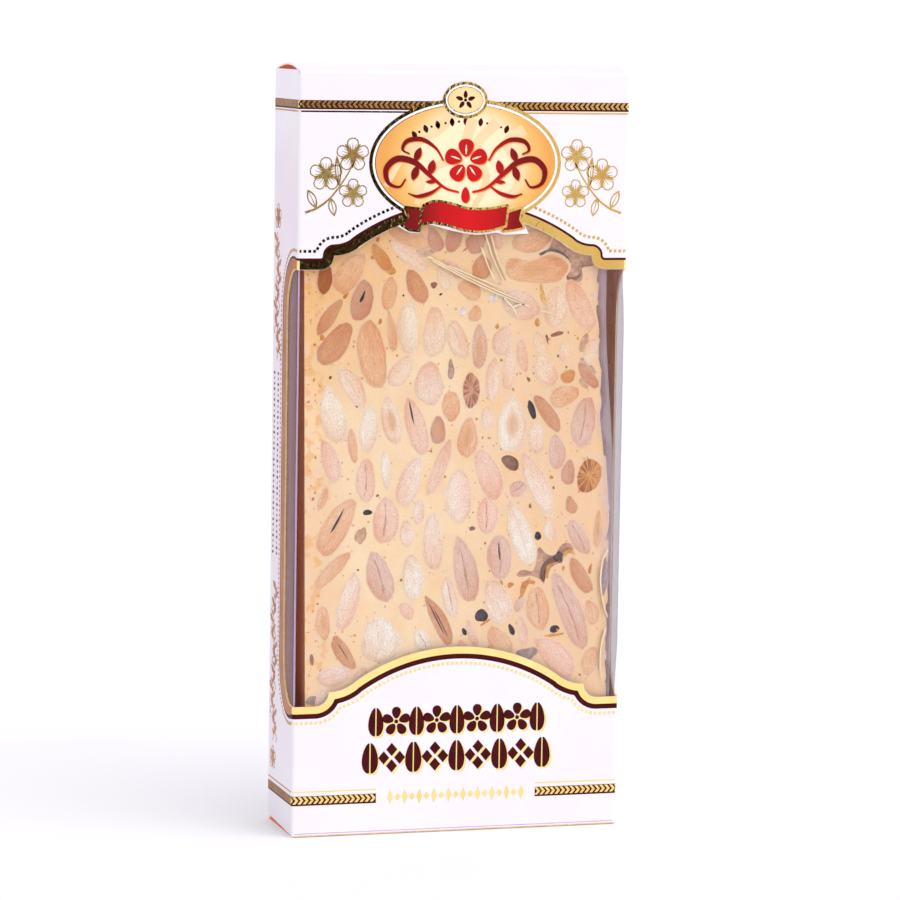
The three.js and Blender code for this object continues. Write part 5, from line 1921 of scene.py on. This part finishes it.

# %% [markdown]
# ## Cracks, crumbs and strokes in the hollows
#
# What remains is small but catches the eye: dark cracks along a few almonds, orange and brown
# crumbs of toasted skin, milky drops that paint small glints, dark strokes that paint the shade
# deep in the hollows, and greyish places where the wrap lifts off the face. Most are rows of a
# table: place, length, width, lean and colour.

# %% Cracks and crumbs
DARK, ORANGE, BROWN, HONEY = (66, 44, 40), (222, 138, 48), (158, 100, 68), (232, 166, 74)
GREY, PAINTED_GLINT, CRACK = (182, 158, 156), (250, 238, 240), (38, 20, 20)
CRACKS = [
    (-28.7, 152.1, 3.4, 1.1, 22), (-14.1, 119.6, 7.4, 0.6, -14), (-35.2, 89.2, 9.0, 0.7, 30),
    (12.3, 79.6, 4.6, 0.6, -4), (-33.2, 52.4, 5.5, 0.3, -33), (-6.0, 61.0, 12.5, 0.35, -28),
    (-4.6, 59.8, 10.5, 0.3, -28),
]
CRUMBS = [
    (-22.0, 160.5, 6.0, 2.8, -60, HONEY), (-24.5, 168, 1.4, 1.0, 0, ORANGE), (-26, 163, 1.2, 1.0, 0, ORANGE),
    (-33.5, 152.7, 2.2, 1.3, 40, ORANGE), (-23.5, 145.2, 1.5, 1.1, 0, ORANGE),
    (-28, 143.5, 1.3, 1.0, 0, ORANGE),
    (-40.2, 140.8, 1.8, 1.3, 20, ORANGE), (-7.7, 132, 1.5, 1.0, 60, ORANGE), (-29, 128, 1.2, 0.9, 0, ORANGE),
    (-8, 155.3, 2.2, 1.5, 60, BROWN), (33, 92.9, 1.3, 1.6, 0, ORANGE), (-30, 122, 1.8, 1.1, -20, BROWN),
    (4.3, 86.3, 1.8, 1.2, 60, BROWN), (27.5, 100.5, 1.2, 1.0, 0, HONEY), (28.5, 141.3, 3.6, 1.3, 80, BROWN),
    (25.3, 139.7, 2.5, 1.3, 0, BROWN), (22.5, 144.6, 2.6, 1.3, -10, HONEY),
    (20.2, 128.5, 1.6, 0.8, -20, BROWN),
    (21.3, 92.4, 1.2, 0.9, 0, BROWN), (-37.7, 129.6, 0.9, 0.8, 0, DARK), (-10.6, 161.4, 0.8, 0.7, 0, DARK),
    (-6, 152.7, 1.0, 0.6, 70, DARK), (-16.9, 152.4, 0.6, 0.6, 0, DARK), (-34, 79.4, 0.9, 0.8, 0, DARK),
    (-29, 75.3, 0.6, 0.6, 0, DARK), (-42.1, 50.3, 3.0, 1.2, 0, (170, 130, 104)),
    (-2.7, 131.5, 5.2, 2.0, -4, (196, 160, 138)), (-28.3, 85, 5.0, 3.0, 10, (222, 178, 142)),
    (2.4, 166.4, 6.4, 0.5, 52, ORANGE), (8.6, 59.4, 3.0, 0.8, 60, ORANGE), (29.4, 55.2, 5.6, 0.9, 82, HONEY),
    (15.9, 69.9, 2.2, 1.2, 60, ORANGE), (13.2, 70.6, 1.6, 1.0, 0, HONEY), (39.6, 73.9, 2.6, 1.0, 10, ORANGE),
    (31.6, 74.4, 1.4, 0.9, 0, HONEY), (36.8, 138.4, 6.6, 2.6, 8, (222, 174, 142)),
    # the milky-white drops paint small glints
    (36.6, 127.2, 3.4, 2.2, -30, (226, 180, 140)), (0.5, 147.8, 2.4, 1.7, 0, PAINTED_GLINT),
    (9.5, 151.5, 2.6, 1.9, 20, PAINTED_GLINT),
    (38.8, 152.3, 1.3, 1.1, 0, PAINTED_GLINT), (28.2, 97.5, 0.8, 0.7, 0, BROWN), (-42.4, 129.0, 1.0, 0.7, 0, HONEY),
    (-29.6, 128.4, 2.6, 0.8, 0, HONEY), (10.7, 143.6, 1.6, 1.1, 30, HONEY),
    (23.9, 152.4, 5.4, 1.6, -12, (244, 196, 116)),
]
AIR = [
    (21.0, 49.8, 6.4, 4.2, 70, GREY), (-41.4, 38.6, 4.8, 2.4, 80, GREY),
    (-9.4, 165.8, 9.0, 3.6, 70, (222, 190, 162)),
    (37.6, 132.0, 6.0, 2.6, -40, (214, 184, 168)), (44.0, 71.6, 10.4, 2.0, 2, (172, 154, 162)),
]


SOFT_EDGE = 0.16                   # share of a drop's width that slopes down to its rim


def table_patches(name, rows, out, rough):
    """A piece of flat drops with softened edges, one to a row."""
    mesh = bmesh.new()
    tone = mesh.verts.layers.float_color.new("tone")
    for i, (x, z, length, width, lean, colour) in enumerate(rows):
        outline = rough_egg(x, z, length, width, lean, i + 3, rough, 18)
        for vert in add_patch(mesh, outline, -0.2, out * 0.6, width * SOFT_EDGE, out * 0.4)[0]:
            vert[tone] = paint(*colour)
    put_in_face(name, mesh, "nougat", CRUMB)


def fine_crumbs(count):
    """Tiny crumbs of skin, strewn by the same kind of repeatable draws."""
    draw_next = draw_from(SEED + 1)
    rows = []
    while len(rows) < count:
        z = BAR_LOW + 3 + (BAR_HIGH - BAR_LOW - 6) * next(draw_next)
        x = bar_left(z) + 1 + (bar_right(z) - bar_left(z) - 3) * next(draw_next) ** 1.4
        size = 0.3 + 0.5 * next(draw_next) ** 3
        colour = (HONEY, ORANGE, BROWN, (214, 160, 104))[int(4 * next(draw_next))]
        if not any(covers(almond, (x, z), 0.2) for almond in ALMONDS):
            rows.append((x, z, size * 1.3, size, 180 * next(draw_next), colour))
    return rows


table_patches("air_under_wrap", AIR, 0.04, 0.22)
table_patches("crumbs", CRUMBS, 0.10, 0.28)
table_patches("cracks", [(*row, CRACK) for row in CRACKS], 0.2, 0.3)
table_patches("fine_crumbs", fine_crumbs(200), 0.05, 0.2)

# %% Strokes in the hollows
# Strokes: path, width at both ends, swell, lowest and highest level, and colour
HOLLOW_STROKES = [
    # the first two strokes are dark and paint the shade deep in the large hollow
    ([(25.7, 70.6), (25.8, 73.6), (27.2, 75.9), (29.4, 76.9)], 0.9, 1.0, 0.5, -1.4, -0.5, (128, 82, 48)),
    ([(29.2, 76.6), (30.6, 78.2), (31.3, 76.2)], 1.5, 0.9, 0.6, -1.4, -0.4, (88, 56, 44)),
    ([(26.7, 71.6), (26.9, 73.8), (28.0, 75.3), (29.9, 76.0)], 0.7, 0.6, 0.5, -1.0, 0.1, (226, 158, 64)),
    ([(31.8, 77.9), (32.7, 79.1), (34.0, 79.0), (34.9, 78.2)], 0.8, 0.5, 0.4, -1.0, 0.1, (236, 176, 74)),
    ([(23.2, 70.4), (21.0, 70.6), (19.8, 69.1), (19.4, 67.3), (18.4, 65.7)], 1.0, 0.6, 0.9, -0.2, 0.1,
     (226, 150, 62)),
    # the last two paint the shade along the peanut hollow's upper edge and in its lower end
    ([(22.4, 163.9), (25.2, 164.9), (28.2, 164.6), (30.9, 163.0), (32.0, 161.2)], 0.5, 0.4, 0.5, -1.4, -0.3,
     (128, 102, 106)),
    ([(31.2, 157.2), (33.0, 156.3), (35.2, 157.4)], 1.4, 1.0, 0.6, -1.4, -0.9, (164, 124, 106)),
]


def make_toffee():
    mesh = bmesh.new()
    tone = mesh.verts.layers.float_color.new("tone")
    for path, start, end, swell, low, high, colour in HOLLOW_STROKES:
        outline = stroke(curve_through(path, 4), start, end, swell)
        for vert in add_patch(mesh, outline, low, high, 0.15, 0.08)[0]:
            vert[tone] = paint(*colour)
    put_in_face("toffee", mesh, "nougat", CRUMB)


make_toffee()

# %% [markdown]
# ## Creases in the wrap
#
# Where the wrap was pulled tight it stands up in sharp creases. They read as pale double
# lines across the upper part of the face: their pale colour paints the highlight each fold
# catches, and brown strokes beside some of them paint their shadow.
# They are pen strokes again, raised just in front of the wrap.

# %% Crease strokes
CREASES = [
    [(-10, 163.3), (0, 158.3), (9, 154.2), (18, 150.4)], [(-9, 162.2), (2, 156.6), (10, 153), (18.4, 149.6)],
    [(-4, 160.8), (5, 157), (11.4, 154.6)], [(6.6, 169.4), (9, 162.6), (12.2, 156.2)],
    [(8.2, 169.2), (10.2, 163), (13.2, 156.8)], [(5.4, 166), (7.6, 160.4), (9.4, 156.8)],
    [(15, 149), (17.4, 149.8), (20, 149.2)], [(23, 148), (25.4, 147.5), (28, 146.4)],
    [(12.4, 151.6), (15, 148.8), (16.4, 146.4)],
    [(44.6, 79.5), (43.0, 76), (42.6, 70), (43.6, 64), (44.9, 60)],
    [(44.4, 57), (43.2, 52), (42.9, 47), (43.6, 42)],
]
CREASE_THICKNESS = 0.08
CREASE_SHADOWS = [
    [(-9.5, 162.9), (1, 157.4), (9.6, 153.6), (17.6, 150.1)], [(7.4, 169.2), (9.6, 162.8), (12.6, 156.6)],
    [(44.2, 79.0), (42.6, 75), (42.2, 70), (43.2, 63.6), (44.4, 60)], [(43.8, 56), (42.8, 51), (42.5, 45)],
]


def make_creases(name, paths, width, out, material):
    mesh = bmesh.new()
    for path in paths:
        draw(mesh, stroke(curve_through(path, 6), width, width * 0.6))
    raised = bmesh.ops.extrude_face_region(mesh, geom=mesh.faces[:])["geom"]
    lift(mesh, CREASE_THICKNESS, only("BMVert", raised))
    lift(mesh, out, mesh.verts)
    put_in_face(name, mesh, "clear_wrap", material)


# pale strokes paint the highlight on each crease, and brown ones beside some paint its shadow
CREASE_HIGHLIGHT = plain_finish(
    "crease_highlight", patchy((255, 238, 204), (246, 214, 170), 300), 0.25, coat=0.5)
CREASE_SHADE = plain_finish("crease_shadow", patchy((190, 140, 96), (206, 160, 112), 300), 0.4)
CREASE_OUT = ALMOND_PROUD + WRAP_GAP + WRAP
make_creases("wrap_creases", CREASES, 0.42, CREASE_OUT + 0.03, CREASE_HIGHLIGHT)
make_creases("wrap_crease_shadows", CREASE_SHADOWS, 0.4, CREASE_OUT, CREASE_SHADE)

# %% Sizes and finish
sizes = {name: [list(corner) for corner in box] for name, box in (("cad", CAD_BOX), ("visual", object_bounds()))}
print({name: [round(v, 4) for corner in box for v in corner] for name, box in sizes.items()})
